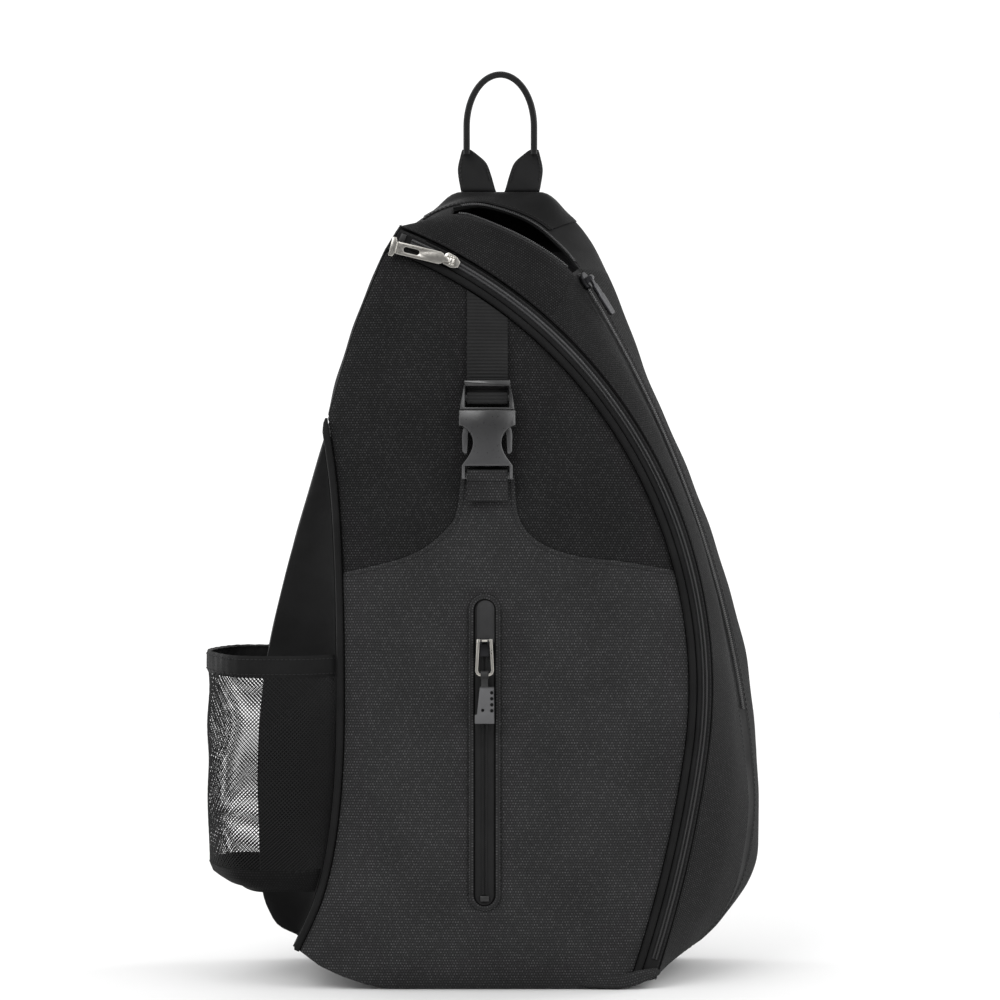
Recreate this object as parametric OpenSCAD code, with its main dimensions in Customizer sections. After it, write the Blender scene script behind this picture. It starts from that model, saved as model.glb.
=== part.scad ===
// Teardrop sling bag for paddles and rackets: a rear paddle compartment, a front
// compartment with a curved zip, a front zip pocket, a mesh bottle pocket, a carry
// loop, a front strap with a side release buckle and a padded sling strap.
//
// Frame: +X to the right of the front view, +Y towards the back panel, +Z up. The
// origin is the middle of the flat base. Paths on the leaning front are written as
// [x, w], w being measured up the front, and h is the height above it. All other
// outlines are [x, z].

/* [Body] */
// Thickness of the padded walls
wall = 3; // [2:0.5:3.5]
// Depth from the origin to the front panel at the base
front_depth = 66; // [60:1:70]
// Depth from the origin to the inside of the back panel
back_depth = 66; // [60:1:70]
// Angle by which the front leans back, in degrees
lean = 5.5; // [4:0.5:7]
// Height of the padded crown of the front panel
crown = 16; // [12:1:18]
// Thickness of the back panel
back_wall = 4; // [3:0.5:5]
// Thickness of the padding on the back
pad_thickness = 8; // [5:1:10]

/* [Seams and zips] */
// Width of the flat piping beside the front panel
piping_width = 5; // [4:0.5:6]
// Height of the piping above its seam
piping_height = 2.5; // [2:0.5:3]
// Width of a zip coil
coil_width = 4; // [3:0.5:5]
// Height of a zip coil
coil_height = 1.6; // [1.2:0.1:2]
// Length of a zip slider
slider_length = 11; // [9:0.5:13]
// Width of a zip slider
slider_width = 8; // [7:0.5:9]
// Running gap between parts that slide or turn
running_gap = 0.25; // [0.15:0.05:0.35]

/* [Front pocket] */
// Length of the welt round the pocket zip
welt_length = 197; // [170:1:200]
// Width of the welt
welt_width = 16; // [14:0.2:18]

/* [Buckle and webbing] */
// Width of the webbing
webbing_width = 26; // [24:0.5:27]
// Thickness of the webbing
webbing_thickness = 1.5; // [1:0.1:2]
// Width of the buckle
buckle_width = 36; // [34:0.5:38]

/* [Handle and sling strap] */
// Thickness of the carry loop
loop_thickness = 4.5; // [3:0.5:7]
// Depth of the carry loop, front to back
loop_depth = 22; // [18:1:26]
// Width of the sling strap's pad
strap_width = 62; // [50:1:70]
// Thickness of the sling strap's pad
strap_thickness = 9; // [7:1:12]

/* [Hidden] */
$fn = 48;

fabric = "#2b2b2d";
grey_fabric = "#3d3d3f";
trim = "#1a1a1b";
plastic = "#3a3a3c";
metal = "#c4c0b4";

// ---- Paths ------------------------------------------------------------------

function lerp(a, b, t) = a + (b - a) * t;
function polar(c, r, a) = [c.x + r * cos(a), c.y + r * sin(a)];
function arc(c, r, a0, a1, n) = [for (i = [0:n]) polar(c, r, lerp(a0, a1, i / n))];
function reverse(p) = [for (i = [len(p) - 1:-1:0]) p[i]];
function but_last(p) = [for (i = [0:len(p) - 2]) p[i]];
function range(p, i0, i1) = [for (i = [i0:i1]) p[i % len(p)]];

// Catmull-Rom curve through the points p, with n steps between two points
function cubic(a, b, c, d, t) =
    (2 * b + (c - a) * t + (2 * a - 5 * b + 4 * c - d) * t ^ 2
    + (3 * b - a - 3 * c + d) * t ^ 3) / 2;
function spline(p, n = 8) = concat(
    [for (i = [0:len(p) - 2]) for (k = [0:n - 1])
        cubic(p[max(i - 1, 0)], p[i], p[i + 1], p[min(i + 2, len(p) - 1)], k / n)],
    [p[len(p) - 1]]);

// The path p divided into n steps of equal length
function lengths(p) =
    [for (i = 0, s = 0; i < len(p); s = s + norm(p[min(i + 1, len(p) - 1)] - p[i]), i = i + 1) s];
function point_at(p, s, d, k) =
    k > len(p) - 3 || s[k + 1] >= d
        ? lerp(p[k], p[k + 1], (d - s[k]) / (s[k + 1] - s[k]))
        : point_at(p, s, d, k + 1);
function resample(p, n) =
    let (s = lengths(p))
    [for (i = [0:n]) point_at(p, s, s[len(s) - 1] * i / n, 0)];

// A closed outline moved inward by t
function inward(p, i) =
    let (n = len(p), d = p[(i + 1) % n] - p[(i + n - 1) % n])
    [-d.y, d.x] / norm(d);
function inset(p, t) = [for (i = [0:len(p) - 1]) p[i] + inward(p, i) * t];

// ---- The leaning front ------------------------------------------------------

// The front sits this far above the base plane, so that only the base touches the floor
front_lift = 0.4;
// Height of the front plane's point [x, z] at height h, as a depth y
function plane_y(z, h) =
    -front_depth + tan(lean) * (z - h * sin(lean) - front_lift) - h * cos(lean);
module on_front(h = 0)
    translate([0, -front_depth, front_lift])
        rotate([90 - lean, 0, 0])
            translate([0, 0, h])
                children();

// The front panel's right edge: a long flat arc that runs into a tighter one
edge_centre = [-182, 192];
edge_radius = 299.5;
edge_low_angle = -8;
edge_split_angle = 48;
edge_top_angle = 68.5;
low_radius = 793;
low_centre = polar(edge_centre, edge_radius - low_radius, edge_low_angle);
function low_end_angle(d) = -19.1 + d / 20;
low_steps = 10;
mid_steps = 20;
top_steps = 12;
// The edge moved outward by d, from the base to the top
function front_edge(d) = concat(
    but_last(arc(low_centre, low_radius + d, low_end_angle(d), edge_low_angle, low_steps)),
    but_last(arc(edge_centre, edge_radius + d, edge_low_angle, edge_split_angle, mid_steps)),
    arc(edge_centre, edge_radius + d, edge_split_angle, edge_top_angle, top_steps));
tape_width = 15;
zip_line = 10.2;
right_steps = low_steps + mid_steps + top_steps;

// The front panel's left edge, from the base to the top
left_base = [-131, 24];
left_fork = [-113, 364];
left_low = spline([left_base, [-116, 58], [-107.4, 97], [-103.1, 146], [-102.5, 205],
    [-103.7, 265], [-106.7, 318], left_fork]);
left_top = [-76.5, 469.5];
left_high = spline([left_fork, [-97, 418], [-81, 459], left_top]);
left_edge = concat(but_last(left_low), left_high);
seam_top = front_edge(tape_width)[right_steps];

// ---- The crown of the front panel -------------------------------------------

side_falloff = 34;
base_falloff = 14;
left_table = [for (p = left_edge) [p.y, p.x]];
function rise(d, falloff) = 1 - exp(-max(d, 0) / falloff);
function right_gap(p) =
    let (a = atan2(p.y - edge_centre.y, p.x - edge_centre.x))
    a < edge_low_angle
        ? low_radius - norm(p - low_centre)
        : edge_radius - norm(p - edge_centre);
function crown_at(p) = crown
    * rise(right_gap(p), side_falloff)
    * rise(p.x - lookup(p.y, left_table), side_falloff)
    * rise(p.y, base_falloff);

// ---- Rings of the body, from the front seam to the back panel ----------------

base_right = front_edge(tape_width)[0];
base_profile = [left_base, [-118, 14.5], [-104, 8], [-88, 2.5], [-72, 0], [72, 0],
    [78.6, 1], [84.5, 2.9], base_right];
base_steps = len(base_profile) - 1;
left_steps = 26;
function ring(low, mid, top, left) = concat(
    but_last(base_profile),
    but_last(resample(low, low_steps)), but_last(resample(mid, mid_steps)),
    but_last(resample(top, top_steps)), but_last(resample(left, left_steps)));
right_start = base_steps;
mid_start = right_start + low_steps;
top_start = mid_start + mid_steps;
left_start = right_start + right_steps;
ring_end = left_start + left_steps;

// Circle that the main zip follows
main_centre = [-564.7, 60.7];
main_radius = 724.5;
main_low_angle = 6.6;
main_top_angle = 32.9;
function main_arc(r) = arc(main_centre, r, main_low_angle, main_top_angle, mid_steps);
rear_left = spline([[-62, 482], [-74, 464], [-90, 418], [-111, 363], [-130, 300],
    [-145, 245], [-156, 190], [-160, 135], [-159, 95], [-157.5, 56], [-151.5, 38], [-145, 30],
    left_base]);

ring_front = ring(
    range(front_edge(tape_width), 0, low_steps),
    range(front_edge(tape_width), low_steps, low_steps + mid_steps),
    range(front_edge(tape_width), low_steps + mid_steps, right_steps),
    concat([seam_top], reverse(left_edge)));
ring_main = ring(
    spline([base_right, [117, 15], [134, 30], [148, 52], [155, 80], [158, 112],
        main_arc(main_radius)[0]]),
    main_arc(main_radius),
    spline([main_arc(main_radius)[mid_steps], [25, 468], [3, 480], [-26, 491], [-43, 491],
        [-53, 487], [-60, 480]]),
    concat([[-60, 480]], rear_left));
ring_tape = ring(
    spline([base_right, [118, 14.5], [136, 30], [150.5, 52], [159, 80], [162, 112],
        main_arc(main_radius + 5)[0]]),
    main_arc(main_radius + 5),
    spline([main_arc(main_radius + 5)[mid_steps], [37, 470], [16, 487], [-12, 497], [-29, 497],
        [-45, 492], [-61, 481]]),
    concat([[-61, 481]], rear_left));
ring_wide = ring(
    spline([base_right, [122, 13.5], [133.5, 22], [142, 30.5], [156, 49], [163.7, 68],
        [165.7, 88], [165.4, 112], [164, 142]]),
    spline([[164, 142], [157.5, 200], [142.5, 258], [122.5, 315], [98, 372], [86, 402],
        [75, 431], [66, 453]]),
    spline([[66, 453], [55, 474], [40, 491], [20, 501], [-3, 504], [-26, 501],
        [-43, 494], [-54, 488], [-62, 482]]),
    rear_left);
seam_inset = 7;
// The back seam is the widest ring drawn in, but not at the two ends of the base
function end_share(i) = min(1, min(i - right_start, ring_end - i) / 8);
ring_back = [for (i = [0:len(ring_wide) - 1]) i < right_start
    ? ring_wide[i]
    : ring_wide[i] + inward(ring_wide, i) * seam_inset * end_share(i)];
function halfway(a, b, left_share, right_bulge) = [for (i = [0:len(a) - 1])
    i >= left_start ? lerp(a[i], b[i], left_share)
        : lerp(a[i], b[i], 0.5) - inward(a, i) * (i > right_start ? right_bulge : 0)];
ring_half = halfway(ring_front, ring_main, 0.2, 3);

// Depths of the rings; the zip's rear edge is pushed back where the mouth is open
tape_depth = 10;
wide_depth = 40;
mouth_start = top_start;
mouth_end = top_start + 9;
mouth_open = 20;
mouth_dip = 5;
function mouth_share(i) =
    i > mouth_start && i < mouth_end ? sin(180 * (i - mouth_start) / (mouth_end - mouth_start)) : 0;
function half_y(i, z) = lerp(plane_y(z, -wall), 0, i >= left_start && i < ring_end ? 0.85 : 0.5);

// A ring as points in space, moved outward by d
function space(p, d, y) = [for (i = [0:len(p) - 1])
    let (q = p[i] - inward(p, i) * d) [q.x, y(i, q.y), q.y]];
function rings(d) = [
    space(ring_front, d, function (i, z) plane_y(z, -wall)),
    space(ring_half, d, function (i, z) half_y(i, z)),
    space(ring_main, d, function (i, z) -mouth_dip * mouth_share(i)),
    space(ring_tape, d, function (i, z) tape_depth + mouth_open * mouth_share(i)),
    space(ring_wide, d, function (i, z) wide_depth + 4 * mouth_share(i)),
    space(ring_back, d, function (i, z) back_depth)];
outer = rings(0);
inner = rings(-wall);

// ---- Sheets -----------------------------------------------------------------

// A closed sheet between two grids of points; rows run down or back, columns run
// left to right or up the right side
module sheet(a, b) {
    rows = len(a) - 1;
    cols = len(a[0]) - 1;
    across = cols + 1;
    shift = across * (rows + 1);
    function id(side, r, c) = side * shift + r * across + c;
    function quad(p, q, r, s) = [[p, q, r], [p, r, s]];
    faces = concat(
        [for (r = [0:rows - 1]) for (c = [0:cols - 1]) each concat(
            quad(id(0, r, c), id(0, r, c + 1), id(0, r + 1, c + 1), id(0, r + 1, c)),
            quad(id(1, r, c), id(1, r + 1, c), id(1, r + 1, c + 1), id(1, r, c + 1)))],
        [for (r = [0:rows - 1]) each concat(
            quad(id(0, r, 0), id(0, r + 1, 0), id(1, r + 1, 0), id(1, r, 0)),
            quad(id(0, r, cols), id(1, r, cols), id(1, r + 1, cols), id(0, r + 1, cols)))],
        [for (c = [0:cols - 1]) each concat(
            quad(id(0, 0, c), id(1, 0, c), id(1, 0, c + 1), id(0, 0, c + 1)),
            quad(id(0, rows, c), id(0, rows, c + 1), id(1, rows, c + 1), id(1, rows, c)))]);
    polyhedron([for (row = concat(a, b)) each row], faces, convexity = 6);
}

// Part of the body's wall: rings r0 to r1, positions i0 to i1
module wall_part(r0, r1, i0, i1, a = outer, b = inner)
    sheet([for (r = [r0:r1]) range(a[r], i0, i1)], [for (r = [r0:r1]) range(b[r], i0, i1)]);

// A flat strip between two offsets of the front panel's right edge
module edge_strip(d0, d1, height, i0 = 0, i1 = right_steps, tip = [])
    linear_extrude(height)
        polygon(concat(reverse(range(front_edge(d0), i0, i1)), range(front_edge(d1), i0, i1), tip));

// ---- Front panel --------------------------------------------------------------

front_cols = 20;
low_rows = 18;
high_rows = right_steps - low_rows;
yoke_index = 40;
yoke_left = spline([[-28, 327], [-31, 303], [-38, 292], [-51, 281], [-66, 274], [-85, 269],
    left_edge[yoke_index]]);
yoke_right = spline([[6, 327], [8, 303], [15, 290], [28, 281], [48, 275], [75, 272],
    front_edge(0)[low_rows]]);
yoke_line = resample(concat(reverse(yoke_left), yoke_right), front_cols);

// Coons patch between four edges; v runs up and u to the right
function coons(low, high, left, right, rows) = [for (r = [0:rows]) [for (c = [0:front_cols])
    let (u = c / front_cols, v = r / rows)
    lerp(low[c], high[c], v) + lerp(left[r], right[r], u)
    - lerp(lerp(low[0], low[front_cols], u), lerp(high[0], high[front_cols], u), v)]];
panel_left = concat(
    but_last(resample(range(left_edge, 0, yoke_index), low_rows)),
    resample(range(left_edge, yoke_index, len(left_edge) - 1), high_rows));
panel_top = [for (c = [0:front_cols])
    lerp(panel_left[right_steps], front_edge(0)[right_steps], c / front_cols)];
panel_base = resample(
    concat([for (p = base_profile) if (p.x < 75) p], [front_edge(0)[0]]), front_cols);
function crowned(p, drop) = [p.x, p.y, crown_at(p) - drop];
module front_panel(grid)
    on_front()
        sheet(
            [for (row = reverse(grid)) [for (p = row) crowned(p, 0)]],
            [for (row = reverse(grid)) [for (p = row) crowned(p, wall)]]);

module front_panel_lower()
    color(grey_fabric)
        front_panel(coons(panel_base, yoke_line, range(panel_left, 0, low_rows),
            range(front_edge(0), 0, low_rows), low_rows));

module front_panel_upper()
    color(fabric)
        front_panel(coons(yoke_line, panel_top, range(panel_left, low_rows, right_steps),
            range(front_edge(0), low_rows, right_steps), high_rows));

// ---- Seams and zips of the front ------------------------------------------------

module front_piping()
    color(trim)
        on_front(0.02)
            edge_strip(0, piping_width, piping_height);

// The left piping stands just outside the panel's left edge
module left_piping() {
    near = [for (p = left_low) p - [0.3, 0]];
    far = [for (p = left_low) p - [piping_width + 0.3, 0]];
    color(trim)
        on_front(-wall + 0.4)
            linear_extrude(wall - 0.4 + piping_height)
                polygon(concat(near, reverse(far)));
}

module front_zip_tape()
    color(trim)
        on_front(-wall)
            edge_strip(0, tape_width, wall, tip = [left_top]);

stop_steps = 1;
module front_zip_coil()
    color(trim)
        on_front(0.02)
            edge_strip(zip_line - coil_width / 2, zip_line + coil_width / 2, coil_height,
                stop_steps, right_steps - stop_steps);

// ---- Gussets ----------------------------------------------------------------------

module front_gusset_right() color(fabric) wall_part(0, 2, right_start, top_start);
module front_gusset_top() color(fabric) wall_part(0, 2, top_start, left_start);
module left_gusset() color(trim) wall_part(0, 2, left_start, ring_end);
module rear_gusset_left() color(fabric) wall_part(2, 5, left_start, ring_end);
module rear_gusset_right() color(fabric) wall_part(3, 5, right_start, top_start);
module rear_gusset_top() {
    color(fabric) {
        wall_part(3, 5, top_start, left_start);
        wall_part(2, 3, mouth_end, left_start);
    }
}

// The main zip's tape is closed along the right side and open at the mouth
module main_zip_tape() color(trim) wall_part(2, 3, right_start, mouth_start);

lip = 4;
module mouth_lip_front() {
    edge = [for (i = [mouth_start:mouth_end]) outer[2][i]];
    edge_in = [for (i = [mouth_start:mouth_end]) inner[2][i]];
    rise_by = [for (i = [mouth_start:mouth_end]) [0, 1, 0.3] * lip * min(1, 3 * mouth_share(i))];
    color(trim)
        sheet([edge, [for (k = [0:len(edge) - 1]) edge[k] + rise_by[k] + [0, 0.2, 0]]],
            [edge_in, [for (k = [0:len(edge) - 1]) edge_in[k] + rise_by[k] + [0, 0.2, 0]]]);
}

module mouth_lip_rear() {
    edge = [for (i = [mouth_start:mouth_end]) outer[3][i]];
    edge_in = [for (i = [mouth_start:mouth_end]) inner[3][i]];
    drop_by = [for (i = [mouth_start:mouth_end]) [0, -1, 0] * lip * min(1, 3 * mouth_share(i))];
    color(trim)
        sheet([[for (k = [0:len(edge) - 1]) edge[k] + drop_by[k] - [0, 0.2, 0]], edge],
            [[for (k = [0:len(edge) - 1]) edge_in[k] + drop_by[k] - [0, 0.2, 0]], edge_in]);
}

// Frame of the main zip: a cone about the zip's circle, facing out and forward
main_line_radius = main_radius + 2.5;
main_line_depth = tape_depth / 2;
main_tilt = atan(5 / tape_depth);
module on_main_zip(angle)
    translate([main_centre.x, 0, main_centre.y])
        rotate([0, -angle, 0])
            translate([main_line_radius, main_line_depth, 0])
                rotate([0, 0, -main_tilt])
                    rotate([90, 0, 90])
                        children();

main_coil_low = 8.8;
main_coil_top = 32.7;
// Height of the coil and of the slider over the zip's line
main_level = 0.1;
module main_zip_coil()
    color(trim)
        translate([main_centre.x, 0, main_centre.y])
            rotate([90, 0, 0])
                rotate([0, 0, main_coil_low])
                    rotate_extrude(angle = main_coil_top - main_coil_low, $fn = 360)
                        translate([main_line_radius, -main_line_depth])
                            rotate(main_tilt)
                                translate([main_level, -coil_width / 2])
                                    square([coil_height, coil_width]);

// ---- Base, back and inside -----------------------------------------------------------

beyond = 300;
module base_panel() {
    profile_in = concat([inset(ring_front, wall)[0]],
        [for (i = [1:base_steps - 1]) base_profile[i] + [0, wall]],
        [inset(ring_front, wall)[base_steps]]);
    color(grey_fabric)
        difference() {
            translate([0, back_depth, 0])
                rotate([90, 0, 0])
                    linear_extrude(2 * front_depth + back_depth)
                        polygon(concat(base_profile, reverse(profile_in)));
            on_front(-wall)
                translate([-beyond, -beyond, 0])
                    cube(2 * beyond);
        }
}

base_board_size = [138, front_depth + back_depth - 20, 2];
module base_board()
    color("dimgray")
        translate([-70, -front_depth + 12, wall + 0.3])
            cube(base_board_size);

module back_slab(outline, y0, y1)
    translate([0, y1, 0])
        rotate([90, 0, 0])
            linear_extrude(y1 - y0)
                polygon(outline);

back_face = back_depth + back_wall;
module back_panel()
    color(fabric)
        back_slab(ring_back, back_depth, back_face);

board_thickness = 1.5;
module back_board()
    color("dimgray")
        intersection() {
            back_slab(inset(ring_back, wall + 5), back_depth - board_thickness - 0.1, back_depth - 0.1);
            translate([-200, 0, 14]) cube([400, 100, 452]);
        }

// Three pads on the back with channels between them, cut back round the two rings
pad_split = 250;
channel = 14;
corner_radius = 36;
module back_pad(low, high, left, right)
    color(trim)
        difference() {
            intersection() {
                back_slab(inset(ring_back, 16), back_face, back_face + pad_thickness);
                translate([left, 0, low]) cube([right - left, 200, high - low]);
            }
            for (side = [-1, 1])
                translate([side * ring_x, 0, ring_z])
                    rotate([-90, 0, 0])
                        cylinder(r = corner_radius, h = 200);
        }
module back_pad_upper() back_pad(pad_split + channel / 2, 440, -200, 200);
module back_pad_left() back_pad(24, pad_split - channel / 2, -200, -channel / 2 - 4);
module back_pad_right() back_pad(24, pad_split - channel / 2, channel / 2 - 4, 200);

// The wall between the two compartments, just in front of the main zip
module divider()
    color("dimgray")
        intersection() {
            back_slab(inset(ring_half, wall + 3), -7, -5);
            back_slab(inset(ring_main, wall + 2), -7, -5);
            translate([-200, -50, 5]) cube([400, 100, 462]);
        }

// ---- Front pocket ---------------------------------------------------------------------

pocket_x = -13;
pocket_low = 52;
pocket_h = 15;
module on_pocket(h = 0) on_front(pocket_h + h) translate([pocket_x, pocket_low, 0]) children();

// A strip with round ends, from the origin up
module stadium(width, length) {
    run = length - width;
    translate([0, width / 2]) {
        circle(d = width);
        translate([0, run]) circle(d = width);
        translate([-width / 2, 0]) square([width, run]);
    }
}

slot_width = 11;
slot_margin = (welt_width - slot_width) / 2;
slot_length = welt_length - 2 * slot_margin;
module pocket_welt()
    color(grey_fabric)
        on_pocket()
            linear_extrude(1.2)
                difference() {
                    stadium(welt_width, welt_length);
                    translate([0, slot_margin]) stadium(slot_width, slot_length);
                }

module pocket_zip_tape()
    color(trim)
        on_pocket()
            linear_extrude(0.5)
                translate([0, slot_margin + 0.1])
                    stadium(slot_width - 0.2, slot_length - 0.2);

// Fold over the top end of the pocket zip
garage_length = 21;
garage_width = 13;
module pocket_garage()
    color(grey_fabric)
        on_pocket(2.8)
            linear_extrude(0.9)
                translate([0, welt_length - garage_length - 2])
                    difference() {
                        stadium(garage_width, garage_length);
                        translate([-garage_width, -garage_width])
                            square([2 * garage_width, garage_width]);
                    }

pocket_coil_start = 8;
pocket_coil_length = welt_length - 20;
module pocket_zip_coil()
    color(trim)
        on_pocket(0.52)
            translate([-coil_width / 2, pocket_coil_start, 0])
                cube([coil_width, pocket_coil_length, coil_height]);

pouch_size = [100, 200, 3];
pouch_low = 40;
module pocket_pouch()
    color("dimgray")
        on_front()
            translate([pocket_x - pouch_size.x / 2, pouch_low, 0])
                cube(pouch_size);

// ---- Sliders and pullers ----------------------------------------------------------------

// A zip slider stands over a coil, nose towards +X. Two lugs carry a pin across it.
// The bridge with the pin may be turned by an angle.
lug_gap = 3.6;
lug_width = 1;
pin_radius = 0.8;
pin_height = 5.8;
body_base = 0.35;
body_top = 3.6;
slider_shares = [[-0.5, 0.31], [-0.37, 0.5], [0.1, 0.5], [0.3, 0.4], [0.5, 0.22]];
function slider_outline(s) = [for (p = slider_shares) [p.x * slider_length, s * p.y * slider_width]];
module slider_body(level)
    difference() {
        translate([0, 0, level + body_base])
            linear_extrude(body_top - body_base)
                polygon(concat(slider_outline(-1), reverse(slider_outline(1))));
        translate([-slider_length, -coil_width / 2 - running_gap, -1])
            cube([2 * slider_length, coil_width + 2 * running_gap,
                level + 1.1 + coil_height + running_gap]);
    }
module lugs(level)
    for (side = [-1, 1])
        translate([0, side * (lug_gap + lug_width) / 2 + lug_width / 2, level])
            rotate([90, 0, 0])
                linear_extrude(lug_width) {
                    translate([0, pin_height]) circle(r = 1.7);
                    translate([-2, body_top - 0.1]) square([4, pin_height - body_top + 0.1]);
                }
module across(level, radius, width)
    translate([0, 0, level + pin_height])
        rotate([90, 0, 0])
            cylinder(r = radius, h = width, center = true);
module zip_slider(level, turn) {
    slider_body(level);
    rotate(turn) {
        lugs(level);
        across(level, pin_radius, lug_gap + 1);
    }
}

// The eye of a puller turns on the slider's pin with a small clearance
eye_radius = 2.1;
eye_width = lug_gap - 0.5;
pin_clearance = 0.06;
module puller(level, outline, thickness, slot_at = 0) {
    flat = level + pin_height - thickness / 2;
    difference() {
        union() {
            across(level, eye_radius, eye_width);
            translate([-6, -eye_width / 2, flat]) cube([6, eye_width, thickness]);
            translate([0, 0, flat])
                linear_extrude(thickness)
                    polygon(concat(outline, [for (p = reverse(outline)) [p.x, -p.y]]));
        }
        across(level, pin_radius + pin_clearance, eye_width + 2);
        if (slot_at != 0)
            translate([slot_at, 0, flat - 1])
                linear_extrude(thickness + 2)
                    rotate(90)
                        stadium(3.6, 10.5);
    }
}

// Place of the front slider on its arc, by the angle at the arc's centre
front_slider_angle = 61.5;
front_bridge_turn = -15;
module at_front_slider()
    on_front()
        translate([edge_centre.x, edge_centre.y, 0])
            rotate(front_slider_angle)
                translate([edge_radius + zip_line, 0, 0])
                    rotate(90)
                        children();
front_bar = [[-4.5, 1.5], [-6.2, 3.4], [-7.6, 4], [-35.6, 4], [-36.6, 3.2]];
front_tip = [[3.8, -3.2], [3.8, 3.2], [2.6, 6.2], [0, 6.2], [0, -6.2], [2.6, -6.2]];
module front_slider()
    color(metal)
        at_front_slider()
            mirror([1, 0, 0])
                zip_slider(0, front_bridge_turn);
module front_puller()
    color(metal)
        at_front_slider()
            mirror([1, 0, 0])
                rotate(front_bridge_turn) {
                    puller(0, front_bar, 1.8, -21);
                    translate([-40, 0, pin_height - 1.5])
                        linear_extrude(3)
                            polygon(front_tip);
                }

// The main slider's puller ends in a ribbed tab
main_slider_angle = 32.2;
main_bar = [[-4.5, 1.5], [-5.6, 2.8], [-12, 2.8], [-13.2, 3.6], [-26, 3.2], [-27.2, 2]];
module at_main_slider() on_main_zip(main_slider_angle) rotate(90) children();
module main_slider() color(plastic) at_main_slider() zip_slider(main_level, 0);
module main_puller() color(plastic) at_main_slider() puller(main_level, main_bar, 1.8);

// The pocket slider's lugs are bored for the top bar of a wire bail
pocket_slider_at = 165;
bail_pivot = 4.5;
module at_pocket_slider()
    on_pocket(0.5)
        translate([0, pocket_slider_at, 0])
            rotate(90)
                children();
module pocket_slider()
    color(metal)
        at_pocket_slider() {
            slider_body(0);
            difference() {
                translate([bail_pivot - 1, 0, 0])
                    lugs(0);
                translate([bail_pivot, 0, 0])
                    across(0, pin_radius + pin_clearance, 10);
            }
        }

wire = 1.5;
bail_outer = [[1, 4.9], [-19.2, 5.95], [-21.2, 5.2], [-22.4, 3.4]];
bail_inner = [[-0.8, 3.2], [-18.8, 4.25], [-20.3, 3.7], [-20.8, 2.8]];
bail_bar = -21.6;
module mirrored_outline(p) polygon(concat(p, [for (q = reverse(p)) [q.x, -q.y]]));
module pocket_bail()
    color(metal)
        at_pocket_slider()
            translate([bail_pivot, 0, 0]) {
                translate([0, 0, pin_height - wire / 2])
                    linear_extrude(wire)
                        difference() {
                            mirrored_outline(bail_outer);
                            mirrored_outline(bail_inner);
                            translate([-2, -3.2]) square([4, 6.4]);
                        }
                across(0, pin_radius, 7);
            }

// Ribbed rubber pull with an eye round the bail's lower bar
pull_outline = [[-7.6, -3], [-7.6, 6], [-31, 6.2], [-31, -6.2], [-25.4, -6.2], [-25.2, -4.8]];
module pocket_pull()
    color(plastic)
        at_pocket_slider()
            translate([bail_pivot + bail_bar, 0, 0])
                difference() {
                    union() {
                        across(0, 2.6, 5);
                        translate([-9, -2.2, pin_height - 1.3]) cube([8, 4.4, 2.6]);
                        translate([0, 0, pin_height - 1.9])
                            linear_extrude(3.8)
                                polygon([for (p = pull_outline) [p.x, -p.y]]);
                    }
                    across(0, 1.3, 12);
                    for (rib = [0:3])
                        translate([-11.4 - 3.8 * rib, -4.6, 0])
                            cylinder(r = 1.1, h = 12);
                    translate([-22.5, 1.2, 0]) cylinder(r = 1, h = 12);
                }

// Small blocks at both ends of each coil
stop_size = [3.4, 5.4, 2];
module stop_block() translate([-stop_size.x / 2, -stop_size.y / 2, 0]) cube(stop_size);
module stop_on_edge(centre, radius, angle)
    on_front(0.02)
        translate(centre)
            rotate(angle)
                translate([radius + zip_line, 0, 0])
                    rotate(90)
                        stop_block();
module zip_stops()
    color(metal) {
        stop_on_edge(edge_centre, edge_radius, edge_top_angle - 0.6);
        stop_on_edge(low_centre, low_radius, low_end_angle(zip_line) + 0.4);
        on_pocket(0.52)
            for (y = [pocket_coil_start - 2.2, pocket_coil_start + pocket_coil_length + 2.2])
                translate([0, y, 0])
                    rotate(90)
                        stop_block();
    }

// ---- Mesh bottle pocket --------------------------------------------------------------------

// Each level is a D round the bottle, from the front seam to the rear gusset. Its
// points are given between the front seam, the outermost side and the rear seam.
mesh_top = 212;
mesh_low = 76;
mesh_side = -190;
mesh_rear = 24;
mesh_thickness = 1.2;
mesh_hem_height = 14;
mesh_foot = 0.98;
mesh_cols = 18;
function front_seam_x(z) = -1.6 - piping_width + lookup(z, left_table);
rear_table = [for (p = reverse(rear_left)) [p.y, p.x]];
function rear_seam_x(z) = lookup(z, rear_table) - 0.8;
function mesh_section(z, reach) =
    let (a = [front_seam_x(z), plane_y(z, 0) + 3],
        b = [rear_seam_x(z), mesh_rear],
        s = lerp(b.x, mesh_side, reach))
    resample(spline([a, [lerp(a.x, s, 0.3), a.y - 10 * reach], [lerp(a.x, s, 0.75), a.y - 7 * reach],
        [s + 3 * reach, lerp(a.y, b.y, 0.28)], [s, lerp(a.y, b.y, 0.6)],
        [lerp(b.x, s, 0.6), b.y - 2], b]), mesh_cols);
function thicken(row, d) = [for (i = [0:len(row) - 1])
    let (t = row[min(i + 1, len(row) - 1)] - row[max(i - 1, 0)])
    row[i] + [-t.y, t.x] / norm(t) * d];
function mesh_row(z, reach, d) = [for (p = thicken(mesh_section(z, reach), d)) [p.x, p.y, z]];
module mesh_wall(levels, d0, d1)
    sheet([for (l = reverse(levels)) mesh_row(l[0], l[1], d0)],
        [for (l = reverse(levels)) mesh_row(l[0], l[1], d1)]);

module mesh_pocket()
    color(trim)
        mesh_wall([[mesh_low, mesh_foot], [100, 1], [130, 1], [160, 1], [180, 1],
            [mesh_top - mesh_hem_height, 1]], 0, mesh_thickness);

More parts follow.
